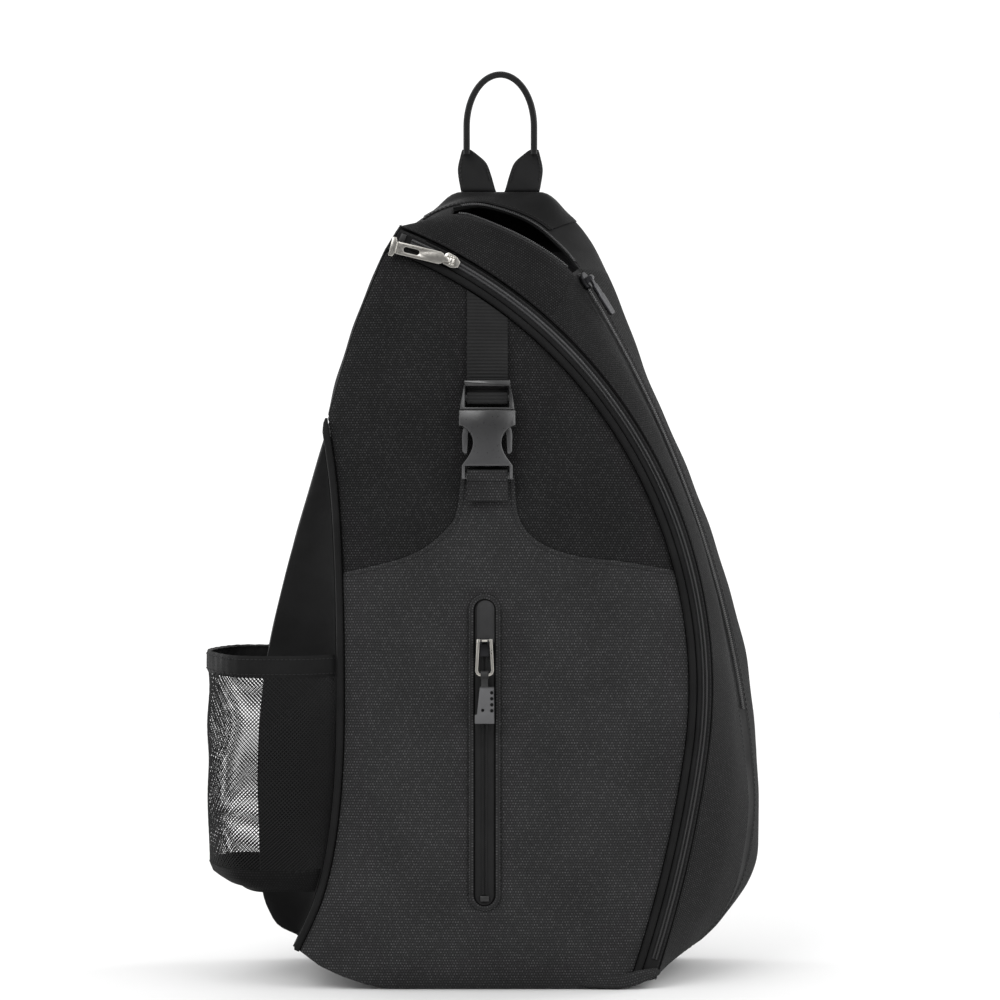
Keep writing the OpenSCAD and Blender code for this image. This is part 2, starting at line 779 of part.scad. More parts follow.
module mesh_pocket_hem()
    color(trim)
        mesh_wall([[mesh_top - mesh_hem_height + 0.02, 1], [mesh_top, 1]], -0.4, mesh_thickness + 0.4);

// The bottom of the pocket narrows in towards the gusset
module mesh_pocket_base() {
    floor_top = 63;
    floor_thickness = 1.6;
    floor_reach = 0.32;
    levels = [[floor_top, floor_reach], [65, 0.62], [70, 0.9], [mesh_low - 0.02, mesh_foot]];
    rear_x = rear_seam_x(floor_top - 1) - 0.2;
    front_x = front_seam_x(floor_top - 1);
    color(trim) {
        mesh_wall(levels, 0, mesh_thickness);
        translate([0, 0, floor_top - floor_thickness])
            linear_extrude(floor_thickness)
                polygon(concat(mesh_section(floor_top, floor_reach),
                    [[rear_x, -1], [lerp(front_x, rear_x, 0.28), -12]]));
    }
}

// ---- Front strap and side release buckle ----------------------------------------------------

// Frame of the buckle, at the middle of its lower end on the front panel
buckle_x = -11.3;
buckle_low = 328;
buckle_h = 16;
buckle_lean = 4;
module on_buckle()
    on_front()
        translate([buckle_x, buckle_low, buckle_h])
            rotate([-buckle_lean, 0, 0])
                children();
// Side profile [w, h] carried across the buckle
module across_buckle(width)
    on_buckle()
        translate([-width / 2, 0, 0])
            rotate([90, 0, 90])
                linear_extrude(width)
                    children();
module both_sides(p) polygon(concat(p, [for (q = reverse(p)) [-q.x, q.y]]));

buckle_thickness = 9;
shell = 1.8;
socket_top = 39.5;
socket_shoulder = 29.8;
socket_leg = 16.2;
socket_waist = [[socket_leg, -4.4], [socket_leg, 4], [15, 5.8], [12.8, 8.7], [10.8, 12],
    [9.4, 15.6], [9, 19], [9.5, 22.2], [10.9, 25.3], [13.3, 27.9], [15.8, 29.3]];
web_slot = 2 * socket_leg - 4;
module buckle_socket()
    color(plastic)
        on_buckle()
            difference() {
                linear_extrude(buckle_thickness)
                    both_sides(concat(socket_waist, [[buckle_width / 2, socket_shoulder],
                        [buckle_width / 2, socket_top]]));
                // slot and thin bar for the fabric tab
                translate([-web_slot / 2, 0, -1]) cube([web_slot, 4, buckle_thickness + 2]);
                translate([-web_slot / 2, -5, -1]) cube([web_slot, 6, 4]);
                translate([-web_slot / 2, -5, buckle_thickness - 3]) cube([web_slot, 6, 4]);
                // hollow that takes the plug, open at the sides below the shoulders
                translate([-buckle_width, 7, shell])
                    cube([2 * buckle_width, socket_shoulder - 7, buckle_thickness - 2 * shell]);
                translate([-buckle_width / 2 + shell, 7, shell])
                    cube([buckle_width - 2 * shell, 40, buckle_thickness - 2 * shell]);
            }

plug_base = socket_top + 0.4;
plug_top = 58.6;
plug_slot = 28.4;
bar_low = 45.4;
bar_high = 49.6;
module buckle_plug()
    color(plastic)
        on_buckle() {
            difference() {
                translate([0, 0, 0.3])
                    linear_extrude(buckle_thickness - 0.6)
                        both_sides([[17.4, plug_base], [17, 44], [15.3, 53], [14.7, 56],
                            [14.7, plug_top]]);
                translate([-plug_slot / 2, plug_base + 1.4, -1])
                    cube([plug_slot, 13.7, buckle_thickness + 2]);
                translate([-plug_slot / 2, plug_base + 10, -1]) cube([plug_slot, 10, 4.6]);
            }
            translate([-plug_slot / 2 - 0.5, bar_low, 2.8])
                cube([plug_slot + 1, bar_high - bar_low, 2.6]);
            // middle guide that runs into the socket
            translate([-4.5, 12, 2.3]) cube([9, plug_base - 11.5, buckle_thickness - 4.6]);
        }

// Each prong is a spring arm whose side shows in the socket's notch
prong_pivot = [11.6, 39.4];
prong_outline = [[10.2, prong_pivot.y], [13.2, prong_pivot.y], [13.6, 31], [15.4, 27.6],
    [16, 24], [15.8, 13.6], [14.6, 12], [12.8, 12], [12.2, 24], [10.2, 31]];
module prong(side)
    color(plastic)
        on_buckle()
            translate([0, 0, 2.3])
                linear_extrude(buckle_thickness - 4.6)
                    polygon([for (p = prong_outline) [side * p.x, p.y]]);

// A loop of webbing sewn round the plug's bar, and a loop of fabric round the socket's
fold = 1.2;
module bar_loop(w0, w1, h0, h1)
    difference() {
        translate([w0 - fold, h0 - fold]) square([w1 - w0 + 2 * fold, h1 - h0 + 2 * fold]);
        translate([w0, h0]) square([w1 - w0, h1 - h0]);
    }
module plug_webbing()
    color(trim)
        across_buckle(webbing_width) {
            bar_loop(bar_low - 0.35, bar_high + 0.35, 2.45, 5.75);
            translate([bar_high + 0.3, 1.25]) square([plug_top - bar_high + 0.6, fold]);
        }
module socket_webbing()
    color(grey_fabric)
        across_buckle(webbing_width) {
            bar_loop(-4.75, 0.35, 2.65, 6.35);
            polygon([[-5.9, 1.45], [-5.9, 7.55], [-9, 5.4], [-18, 2.6], [-18, 1.45]]);
        }

// The webbing follows the panel up to the front seam
web_left = buckle_x - webbing_width / 2;
web_right = buckle_x + webbing_width / 2;
web_rows = 8;
web_cols = 4;
web_start = buckle_low + plug_top + 1.2;
function web_end(x) = edge_centre.y + sqrt(edge_radius ^ 2 - (x - edge_centre.x) ^ 2) - 1;
// Height of the webbing over the panel: it drops from the plug to the panel
plug_webbing_h = buckle_h + 1.25 - sin(buckle_lean) * (plug_top + 0.9);
function web_height(p) =
    max(max(crown_at(p), crown_at([web_left, p.y])) + 0.35,
        plug_webbing_h - 0.12 * (p.y - web_start));
module buckle_webbing() {
    grid = [for (r = [web_rows:-1:0]) [for (c = [0:web_cols])
        let (x = lerp(web_left, web_right, c / web_cols))
        [x, lerp(web_start, web_end(x), r / web_rows)]]];
    color(trim)
        on_front()
            sheet([for (row = grid) [for (p = row) [p.x, p.y, web_height(p) + webbing_thickness]]],
                [for (row = grid) [for (p = row) [p.x, p.y, web_height(p)]]]);
}

// ---- Carry loop --------------------------------------------------------------------------------

handle_x = -3;
handle_y = 44;
handle_pivot = 508.4;
loop_centre = 548;
loop_half = 22;
loop_rise = 34;
leg_low = 533.4;
module from_side(x0, width)
    translate([x0, 0, 0])
        rotate([90, 0, 90])
            linear_extrude(width)
                children();
module from_front(y0, depth)
    translate([0, y0 + depth, 0])
        rotate([90, 0, 0])
            linear_extrude(depth)
                children();

function loop_path(d) = concat(
    [[handle_x + loop_half + d, leg_low]],
    [for (a = [0:7.5:180])
        [handle_x + (loop_half + d) * cos(a), loop_centre + (loop_rise + d) * sin(a)]],
    [[handle_x - loop_half - d, leg_low]]);
module handle_loop()
    color(trim)
        from_front(handle_y - loop_depth / 2, loop_depth)
            polygon(concat(loop_path(loop_thickness / 2), reverse(loop_path(-loop_thickness / 2))));

// Padded leaf at each foot of the loop, round where it is sewn to the bag
tab_half = 6.5;
foot_radius = 3;
tab_top = leg_low - 0.2;
tab_outline = [[2, handle_pivot - 4], [3.4, 508], [6, 517], [9.2, 524.8], [15.6, 530.6],
    [19.4, tab_top], [24.6, tab_top], [26, 529], [27.7, 520], [26.2, 509], [25, handle_pivot - 4]];
module handle_tab(side)
    color(trim)
        intersection() {
            from_front(handle_y - tab_half, 2 * tab_half)
                polygon([for (p = tab_outline) [handle_x + side * p.x, p.y]]);
            from_side(-60, 120)
                polygon(concat(arc([handle_y, handle_pivot], foot_radius, 180, 360, 8),
                    [[handle_y + tab_half, handle_pivot + 8], [handle_y + tab_half, 560],
                    [handle_y - tab_half, 560], [handle_y - tab_half, handle_pivot + 8]]));
        }

// Reinforcing patch on top of the bag under the carry loop
patch_start = top_start + 3;
patch_end = left_start - 1;
module handle_patch() {
    near = rings(0.1);
    far = rings(1.3);
    color(trim)
        sheet([for (r = [4, 5]) range(far[r], patch_start, patch_end)],
            [for (r = [4, 5]) range(near[r], patch_start, patch_end)]);
}

// ---- Sling strap ---------------------------------------------------------------------------------

// The strap lies in its own plane, turned about the back's normal from the top of
// the back to the lower right corner. Its profile is [y, s], s running down.
strap_top = [-6, 474];
ring_x = 113;
ring_z = 66;
strap_turn = atan((ring_x - strap_top.x) / (strap_top.y - ring_z));
strap_reach = norm([ring_x, ring_z] - strap_top);
pad_end = 285;
module on_strap()
    translate([strap_top.x, 0, strap_top.y])
        rotate([0, -strap_turn, 0])
            children();
strap_line = spline([[back_face + 5, 4], [back_face + 17, 14], [back_face + 32, 50],
    [back_face + 43, 105], [back_face + 46, 165], [back_face + 42, 225], [back_face + 34, pad_end]]);
function side_band(p, d0, d1) = concat(thicken(p, d0), reverse(thicken(p, d1)));
module strap_prism(width)
    translate([-width / 2, 0, 0])
        rotate([90, 0, 90])
            linear_extrude(width)
                children();
function downward(p) = [for (q = p) [q.x, -q.y]];

module sling_strap_pad()
    color(fabric)
        on_strap()
            intersection() {
                strap_prism(strap_width)
                    polygon(side_band(downward(strap_line), -strap_thickness / 2, strap_thickness / 2));
                translate([0, 300, 0])
                    rotate([90, 0, 0])
                        linear_extrude(400)
                            both_sides([[14, -pad_end], [20, -pad_end + 12],
                                [strap_width / 2, -200], [strap_width / 2, -60], [24, 0]]);
            }

// The webbing runs straight from the pad to the square ring and is folded round its bar
ring_y = back_face + 8;
ring_bar = 2;
bar_spacing = 13;
fold_half = ring_bar + 0.4;
web_top_s = pad_end + 1;
web_low_s = strap_reach - bar_spacing - fold_half - 2;
strap_web = [[back_face + 33.4, web_top_s], [ring_y, web_low_s]];
module sling_webbing()
    color(trim)
        on_strap()
            strap_prism(webbing_width) {
                polygon(side_band(downward(strap_web), -webbing_thickness, webbing_thickness));
                translate([ring_y, bar_spacing - strap_reach])
                    difference() {
                        square(2 * (fold_half + 2.2), center = true);
                        square(2 * fold_half, center = true);
                    }
            }

// Where the strap leaves the back
module strap_anchor_patch()
    color(trim)
        on_strap()
            translate([-26, back_face + 0.1, 0.5])
                cube([52, 3, 9]);

// Three-bar adjuster on the straight run of the webbing
adjuster_s = 332;
web_slope = atan((strap_web[0].x - strap_web[1].x) / (strap_web[1].y - strap_web[0].y));
module on_web(s)
    on_strap()
        translate([0, strap_web[0].x - (s - web_top_s) * tan(web_slope), -s])
            rotate([-web_slope, 0, 0])
                children();
module strap_adjuster()
    color(plastic)
        on_web(adjuster_s)
            difference() {
                translate([-17, -4, -13]) cube([34, 8, 26]);
                translate([-webbing_width / 2 - running_gap, -webbing_thickness - running_gap, -14])
                    cube([webbing_width + 2 * running_gap, 2 * (webbing_thickness + running_gap), 28]);
                for (z = [-8.5, 3.5])
                    translate([-12.5, -6, z]) cube([25, 12, 5]);
            }

// A ring's level bar turns in its tunnel
bow_half = 16;
bow_drop = 18;
module level_bar() rotate([0, 90, 0]) cylinder(r = ring_bar, h = 2 * bow_half + 4, center = true);
module flat_ring(outer_edge, inner_edge)
    translate([0, ring_bar, 0])
        rotate([90, 0, 0])
            linear_extrude(2 * ring_bar)
                difference() {
                    polygon(outer_edge);
                    polygon(inner_edge);
                }
function bow(d) = concat([[-bow_half - d, 0]],
    [for (a = [180:15:360]) [(bow_half + d) * cos(a), -6 + (bow_drop - 6 + d) * sin(a)]],
    [[bow_half + d, 0]]);
function square_bow(d) = [[-bow_half - d, 0], [-bow_half - d, -bar_spacing - d],
    [bow_half + d, -bar_spacing - d], [bow_half + d, 0]];
module d_ring() {
    level_bar();
    flat_ring(bow(ring_bar), bow(-ring_bar));
}
module square_ring() {
    level_bar();
    flat_ring(square_bow(ring_bar), square_bow(-ring_bar));
}

// Sewn wing with a tunnel for the ring's bar, at each lower corner of the back
wing_thickness = 3;
tunnel_radius = 4;
tunnel_half = 12;
tunnel_bore = ring_bar + 0.08;
right_turn = 180 - strap_turn;
left_turn = 180 + strap_turn;
module at_ring(side, turn)
    translate([side * ring_x, ring_y, ring_z])
        rotate([0, turn, 0])
            children();
module anchor_wing(side, turn)
    color(trim)
        at_ring(side, turn)
            difference() {
                union() {
                    rotate([0, 90, 0]) cylinder(r = tunnel_radius, h = 2 * tunnel_half, center = true);
                    translate([-tunnel_half, -5, -3]) cube([2 * tunnel_half, 4, 7]);
                    translate([0, -4.6, 0])
                        rotate([90, 0, 0])
                            linear_extrude(wing_thickness)
                                polygon([[-tunnel_half, -3], [tunnel_half, -3], [17, 24], [-17, 24]]);
                }
                rotate([0, 90, 0]) cylinder(r = tunnel_bore, h = 4 * tunnel_half, center = true);
            }
module square_ring_right() color(plastic) at_ring(1, right_turn) square_ring();
// The spare ring hangs down over its own wing
module d_ring_left() color(plastic) at_ring(-1, strap_turn) d_ring();

// ---- Nodes ------------------------------------------------------------------------------------------

front_panel_upper();
front_panel_lower();
front_piping();
left_piping();
front_zip_tape();
front_zip_coil();
front_gusset_right();
front_gusset_top();
left_gusset();
main_zip_tape();
main_zip_coil();
mouth_lip_front();
mouth_lip_rear();
rear_gusset_right();
rear_gusset_top();
rear_gusset_left();
base_panel();
base_board();
back_panel();
back_board();
back_pad_upper();
back_pad_left();
back_pad_right();
divider();
pocket_pouch();
pocket_welt();
pocket_zip_tape();
pocket_zip_coil();
pocket_garage();
zip_stops();
mesh_pocket();
mesh_pocket_hem();
mesh_pocket_base();
buckle_webbing();
buckle_socket();
socket_webbing();
plug_webbing();
handle_patch();
strap_anchor_patch();
sling_strap_pad();
sling_webbing();
anchor_wing(1, right_turn);  // anchor_wing_right
anchor_wing(-1, left_turn);  // anchor_wing_left
square_ring_right();
front_slider();
front_puller();
main_slider();
main_puller();
pocket_slider();
pocket_bail();
pocket_pull();
buckle_plug();
prong(-1);  // prong_left
prong(1);  // prong_right
handle_loop();
handle_tab(-1);  // handle_tab_left
handle_tab(1);  // handle_tab_right
strap_adjuster();
d_ring_left();
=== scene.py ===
import math

import bmesh
import bpy
import numpy as np
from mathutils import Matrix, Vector
from mathutils.geometry import delaunay_2d_cdt


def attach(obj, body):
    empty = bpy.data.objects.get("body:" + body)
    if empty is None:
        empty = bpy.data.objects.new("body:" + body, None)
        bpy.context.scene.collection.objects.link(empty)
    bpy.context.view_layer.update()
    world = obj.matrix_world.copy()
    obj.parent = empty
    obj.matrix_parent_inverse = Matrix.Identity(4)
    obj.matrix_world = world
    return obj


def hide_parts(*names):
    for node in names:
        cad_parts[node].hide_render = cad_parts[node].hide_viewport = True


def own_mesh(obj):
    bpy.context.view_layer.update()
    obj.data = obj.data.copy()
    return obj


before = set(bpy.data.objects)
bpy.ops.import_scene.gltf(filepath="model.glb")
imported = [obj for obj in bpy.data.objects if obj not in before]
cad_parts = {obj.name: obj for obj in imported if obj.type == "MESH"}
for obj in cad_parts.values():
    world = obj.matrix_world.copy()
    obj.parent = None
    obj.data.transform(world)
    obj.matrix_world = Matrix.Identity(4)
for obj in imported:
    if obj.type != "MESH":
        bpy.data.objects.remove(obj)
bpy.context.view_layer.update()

# Looks of the racket sling bag. Outlines are in millimetres, as [x, w] on the
# leaning front (w runs up it, h is the height above it) or as [x, z], and turn
# into metres when a mesh is made. They repeat the frame's own curves.
MM = 0.001
FINE = 4  # steps for each step of the frame's rings


# ---- Curves ------------------------------------------------------------------------------

def polar(centre, radius, degrees):
    a = np.radians(degrees)
    return np.array(centre) + radius * np.stack([np.cos(a), np.sin(a)], -1)


def arc(centre, radius, start, end, steps):
    return polar(centre, radius, np.linspace(start, end, steps + 1))


def spline(points, steps=8):
    """Catmull-Rom curve through the points; it works on rows of any size."""
    p = np.array(points, float)
    t = np.linspace(0, 1, steps, endpoint=False).reshape((-1,) + (1,) * (p.ndim - 1))
    out = []
    for i in range(len(p) - 1):
        a, b, c, d = p[max(i - 1, 0)], p[i], p[i + 1], p[min(i + 2, len(p) - 1)]
        out.append((2 * b + (c - a) * t + (2 * a - 5 * b + 4 * c - d) * t**2
                    + (3 * b - a - 3 * c + d) * t**3) / 2)
    return np.concatenate(out + [p[-1:]])


def lengths(path):
    return np.r_[0, np.cumsum(np.linalg.norm(np.diff(path, axis=0), axis=1))]


def resample(path, steps):
    s = lengths(path)
    at = np.linspace(0, s[-1], steps + 1)
    return np.stack([np.interp(at, s, path[:, k]) for k in range(path.shape[1])], -1)


def spaced(path, step):
    return resample(path, max(1, round(lengths(path)[-1] / step)))


def join(*paths):
    return np.concatenate([p[:-1] for p in paths[:-1]] + [paths[-1]])


def ends(p, i0, i1):
    return np.take(p, range(round(i0 * FINE), round(i1 * FINE) + 1), axis=0, mode="wrap")


def unit(v):
    return v / np.maximum(np.linalg.norm(v, axis=-1, keepdims=True), 1e-9)


def inward(p):
    d = np.roll(p, -1, 0) - np.roll(p, 1, 0)
    return unit(np.stack([-d[:, 1], d[:, 0]], -1))


def wobble(points, length, seed):
    """Smooth noise from -1 to 1 with waves of about that length in mm."""
    rng = np.random.default_rng(seed)
    total = np.zeros(points.shape[:-1])
    for _ in range(7):
        way = rng.normal(size=points.shape[-1])
        way *= rng.uniform(0.7, 1.6) * 2 * np.pi / length / np.linalg.norm(way)
        total += np.sin(points @ way + rng.uniform(0, 6.3))
    return total / 4


def rise(distance, falloff):
    return 1 - np.exp(-np.maximum(distance, 0) / falloff)


def gap_to(points, line):
    """Distance in the plane from each point to the nearest one of a line."""
    flat = points.reshape(-1, 2)
    near = [np.linalg.norm(line - p, axis=1).min() for p in flat]
    return np.array(near).reshape(points.shape[:-1])


# ---- The leaning front -------------------------------------------------------------------

LEAN = math.radians(5.5)
SIN, COS, TAN = math.sin(LEAN), math.cos(LEAN), math.tan(LEAN)
FRONT, LIFT, BACK, BACK_FACE, WALL = 66, 0.4, 66, 70, 3
OUT = np.array([0, -COS, SIN])
UP = np.array([0, SIN, COS])


def on_front(p, h):
    x, w = p[..., 0], p[..., 1]
    return np.stack([x, -FRONT + w * SIN - h * COS, LIFT + w * COS + h * SIN], -1)


def plane_y(z, h):
    return -FRONT + TAN * (z - h * SIN - LIFT) - h * COS


EDGE_CENTRE, EDGE_RADIUS, EDGE_LOW, EDGE_SPLIT, EDGE_TOP = (-182, 192), 299.5, -8, 48, 68.5
LOW_RADIUS = 793
LOW_CENTRE = polar(EDGE_CENTRE, EDGE_RADIUS - LOW_RADIUS, EDGE_LOW)
TAPE_WIDTH, ZIP_LINE, PIPING = 15, 10.2, 5


def front_edge(d, fine=FINE):
    return join(arc(LOW_CENTRE, LOW_RADIUS + d, -19.1 + d / 20, EDGE_LOW, 10 * fine),
                arc(EDGE_CENTRE, EDGE_RADIUS + d, EDGE_LOW, EDGE_SPLIT, 20 * fine),
                arc(EDGE_CENTRE, EDGE_RADIUS + d, EDGE_SPLIT, EDGE_TOP, 12 * fine))


LEFT_BASE, LEFT_TOP = [-131, 24], [-76.5, 469.5]
LEFT_LOW = spline([LEFT_BASE, [-116, 58], [-107.4, 97], [-103.1, 146], [-102.5, 205],
                   [-103.7, 265], [-106.7, 318], [-113, 364]])
LEFT_EDGE = join(LEFT_LOW, spline([[-113, 364], [-97, 418], [-81, 459], LEFT_TOP]))
YOKE_INDEX = 40
SEAM_TOP = front_edge(TAPE_WIDTH)[-1]
CROWN = 16


def right_gap(p):
    a = np.degrees(np.arctan2(p[..., 1] - EDGE_CENTRE[1], p[..., 0] - EDGE_CENTRE[0]))
    low = LOW_RADIUS - np.linalg.norm(p - LOW_CENTRE, axis=-1)
    high = EDGE_RADIUS - np.linalg.norm(p - np.array(EDGE_CENTRE), axis=-1)
    return np.where(a < EDGE_LOW, low, high)


def left_gap(p):
    return p[..., 0] - np.interp(p[..., 1], LEFT_EDGE[:, 1], LEFT_EDGE[:, 0])


def crown_at(p):
    return CROWN * rise(right_gap(p), 34) * rise(left_gap(p), 34) * rise(p[..., 1], 14)


# ---- Rings of the body -------------------------------------------------------------------

RIGHT, MID, TOP, MOUTH_END, LEFT, END = 8, 18, 38, 47, 50, 76
BASE_RIGHT = front_edge(TAPE_WIDTH)[0]
BASE_PROFILE = np.array([LEFT_BASE, [-118, 14.5], [-104, 8], [-88, 2.5], [-72, 0], [72, 0],
                         [78.6, 1], [84.5, 2.9], BASE_RIGHT])
BASE = np.concatenate([np.linspace(a, b, FINE, endpoint=False)
                       for a, b in zip(BASE_PROFILE, BASE_PROFILE[1:])] + [BASE_PROFILE[-1:]])


def ring(low, mid, top, left):
    parts = [resample(np.array(p, float), n * FINE)
             for p, n in ((low, MID - RIGHT), (mid, TOP - MID), (top, LEFT - TOP),
                          (left, END - LEFT))]
    return join(BASE, *parts)[:-1]


MAIN_CENTRE, MAIN_RADIUS = (-564.7, 60.7), 724.5


def main_arc(r):
    return arc(MAIN_CENTRE, r, 6.6, 32.9, 20 * FINE)


REAR_LEFT = spline([[-62, 482], [-74, 464], [-90, 418], [-111, 363], [-130, 300], [-145, 245],
                    [-156, 190], [-160, 135], [-159, 95], [-157.5, 56], [-151.5, 38], [-145, 30],
                    LEFT_BASE])
SEAM = front_edge(TAPE_WIDTH)
RING_FRONT = ring(SEAM[:10 * FINE + 1], SEAM[10 * FINE:30 * FINE + 1], SEAM[30 * FINE:],
                  np.concatenate([[SEAM_TOP], LEFT_EDGE[::-1]]))
MAIN, TAPE = main_arc(MAIN_RADIUS), main_arc(MAIN_RADIUS + 5)
RING_MAIN = ring(
    spline([BASE_RIGHT, [117, 15], [134, 30], [148, 52], [155, 80], [158, 112], MAIN[0]]), MAIN,
    spline([MAIN[-1], [25, 468], [3, 480], [-26, 491], [-43, 491], [-53, 487], [-60, 480]]),
    np.concatenate([[[-60, 480]], REAR_LEFT]))
RING_TAPE = ring(
    spline([BASE_RIGHT, [118, 14.5], [136, 30], [150.5, 52], [159, 80], [162, 112], TAPE[0]]), TAPE,
    spline([TAPE[-1], [37, 470], [16, 487], [-12, 497], [-29, 497], [-45, 492], [-61, 481]]),
    np.concatenate([[[-61, 481]], REAR_LEFT]))
RING_WIDE = ring(
    spline([BASE_RIGHT, [122, 13.5], [133.5, 22], [142, 30.5], [156, 49], [163.7, 68],
            [165.7, 88], [165.4, 112], [164, 142]]),
    spline([[164, 142], [157.5, 200], [142.5, 258], [122.5, 315], [98, 372], [86, 402], [75, 431],
            [66, 453]]),
    spline([[66, 453], [55, 474], [40, 491], [20, 501], [-3, 504], [-26, 501], [-43, 494],
            [-54, 488], [-62, 482]]),
    REAR_LEFT)
AT = np.arange(len(RING_WIDE)) / FINE
IN_WIDE = np.clip(np.minimum(AT - RIGHT, END - AT) / 8, 0, 1)[:, None] * 7
RING_BACK = RING_WIDE + inward(RING_WIDE) * IN_WIDE
ON_LEFT = (AT >= LEFT)[:, None]
RING_HALF = np.where(ON_LEFT, RING_FRONT + (RING_MAIN - RING_FRONT) * 0.2,
                     (RING_FRONT + RING_MAIN) / 2 - inward(RING_FRONT) * 3 * (AT > RIGHT)[:, None])
MOUTH = np.where((AT > TOP) & (AT < MOUTH_END),
                 np.sin(np.pi * (AT - TOP) / (MOUTH_END - TOP)), 0)


def space(p, y):
    return np.stack([p[:, 0], np.broadcast_to(y, len(p)), p[:, 1]], -1)


def half_y(z):
    front = plane_y(z, -WALL)
    return front * (1 - np.where(AT >= LEFT, 0.85, 0.5))


RINGS = np.array([
    space(RING_FRONT, plane_y(RING_FRONT[:, 1], -WALL)),
    space(RING_HALF, half_y(RING_HALF[:, 1])),
    space(RING_MAIN, -5 * MOUTH),
    space(RING_TAPE, 10 + 20 * MOUTH),
    space(RING_WIDE, 40 + 4 * MOUTH),
    space(RING_BACK, BACK)])
MIDDLE = np.array([-10, 10, 240])


def wall(rings, i0, i1, steps=10):
    """Grid of the wall's outer face, smooth across the rings and along them."""
    return spline(np.array([ends(RINGS[r], i0, i1) for r in rings]), steps)


# ---- Meshes ------------------------------------------------------------------------------

def linked(name, data):
    """A new object in the scene."""
    obj = bpy.data.objects.new(name, data)
    bpy.context.scene.collection.objects.link(obj)
    return obj


def smooth_faces(mesh):
    mesh.polygons.foreach_set("use_smooth", np.ones(len(mesh.polygons), bool))


def write_cloth(mesh, cloth):
    """Keep the weave's coordinates, in mm, on the mesh."""
    attribute = mesh.attributes.new("cloth", "FLOAT_VECTOR", "POINT")
    attribute.data.foreach_set("vector", np.asarray(cloth, np.float32).ravel())


def only_material(obj, material):
    obj.data.materials.clear()
    obj.data.materials.append(material)


def piece(name, points, faces, materials, slot, body="bag", stands_for=(), cloth=None,
          indices=None, sharp=40):
    mesh = bpy.data.meshes.new(name)
    mesh.from_pydata((np.asarray(points) * MM).tolist(), [], [list(f) for f in faces])
    for m in materials:
        mesh.materials.append(m)
    if indices is not None:
        mesh.polygons.foreach_set("material_index", np.asarray(indices, np.int32))
    if cloth is not None:
        write_cloth(mesh, cloth)
    smooth_faces(mesh)
    mesh.set_sharp_from_angle(angle=math.radians(sharp))
    return settle(linked(name, mesh), body, stands_for)


def settle(obj, body, stands_for):
    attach(obj, body)
    if stands_for:
        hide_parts(*stands_for)
    return obj


def quads(rows, cols, start=0, wrap=False):
    r, c = np.meshgrid(np.arange(rows - 1), np.arange(cols if wrap else cols - 1), indexing="ij")
    n = (c + 1) % cols
    return start + np.stack([r * cols + c, r * cols + n, (r + 1) * cols + n,
                             (r + 1) * cols + c], -1).reshape(-1, 4)


def normals(grid, centre=MIDDLE):
    along, across = np.gradient(grid, axis=1), np.gradient(grid, axis=0)
    n = unit(np.cross(along, across))
    return n * np.sign(((grid - centre) * n).sum(-1).mean() or 1)


def arc_cloth(grid):
    """Millimetres along and across a grid, for the weave."""
    s = np.linalg.norm(np.diff(grid, axis=1), axis=-1).mean(0)
    t = np.linalg.norm(np.diff(grid, axis=0), axis=-1).mean(1)
    u, v = np.meshgrid(np.r_[0, np.cumsum(s)], np.r_[0, np.cumsum(t)])
    return np.stack([u, v, 0 * u], -1)


def shell(name, grid, thickness, materials, slot, cloth=None, centre=MIDDLE, **more):
    """A closed sheet: the grid's face, one below it and the rim between them."""
    rows, cols = grid.shape[:2]
    below = grid - normals(grid, centre) * thickness
    cloth = arc_cloth(grid) if cloth is None else cloth
    size = rows * cols
    top = quads(rows, cols)
    if np.cross(grid[0, 1] - grid[0, 0], grid[1, 0] - grid[0, 0]) @ (grid[0, 0] - below[0, 0]) < 0:
        top = top[:, ::-1]
    rim = np.concatenate([np.arange(cols), np.arange(1, rows) * cols + cols - 1,
                          (rows - 1) * cols + np.arange(cols - 2, -1, -1),
                          np.arange(rows - 2, 0, -1) * cols])
    after = np.roll(rim, -1)
    sides = np.stack([rim, rim + size, after + size, after], -1)
    if not (top[0, :2] == (0, 1)).all():
        sides = sides[:, ::-1]
    faces = np.concatenate([top, top[:, ::-1] + size, sides])
    indices = np.concatenate([np.zeros(len(top)), np.ones(len(top)) * (len(materials) > 1),
                              np.zeros(len(sides))])
    both = np.concatenate([grid.reshape(-1, 3), below.reshape(-1, 3)])
    cloth = np.concatenate([cloth.reshape(-1, 3)] * 2)
    return piece(name, both, faces, materials, slot, cloth=cloth, indices=indices, **more)


def sweep(name, path, side, up, section, materials, slot, **more):
    """A closed section of [across, height] points carried along a path."""
    path, section = np.asarray(path, float), np.asarray(section, float)
    grid = (path[:, None] + side[:, None] * section[None, :, :1]
            + up[:, None] * section[None, :, 1:])
    rows, cols = grid.shape[:2]
    s = lengths(path)
    around = np.r_[0, np.cumsum(np.linalg.norm(np.diff(section, axis=0), axis=1))]
    cloth = np.stack([np.repeat(s[:, None], cols, 1), np.repeat(around[None], rows, 0),
                      np.zeros((rows, cols))], -1).reshape(-1, 3)
    caps = [list(range(cols))[::-1], [(rows - 1) * cols + c for c in range(cols)]]
    faces = [list(f) for f in quads(rows, cols, wrap=True)] + caps
    return outward(piece(name, grid.reshape(-1, 3), faces, materials, slot, cloth=cloth, **more))


def outward(obj):
    bm = bmesh.new()
    bm.from_mesh(obj.data)
    bmesh.ops.recalc_face_normals(bm, faces=bm.faces)
    bm.to_mesh(obj.data)
    bm.free()
    return obj


def frames(path, up):
    """Side and up directions along a path; up is one direction or one for each point."""
    along = unit(np.gradient(path, axis=0))
    up = np.broadcast_to(np.asarray(up, float), path.shape)
    side = unit(np.cross(along, up))
    return side, unit(np.cross(side, along))


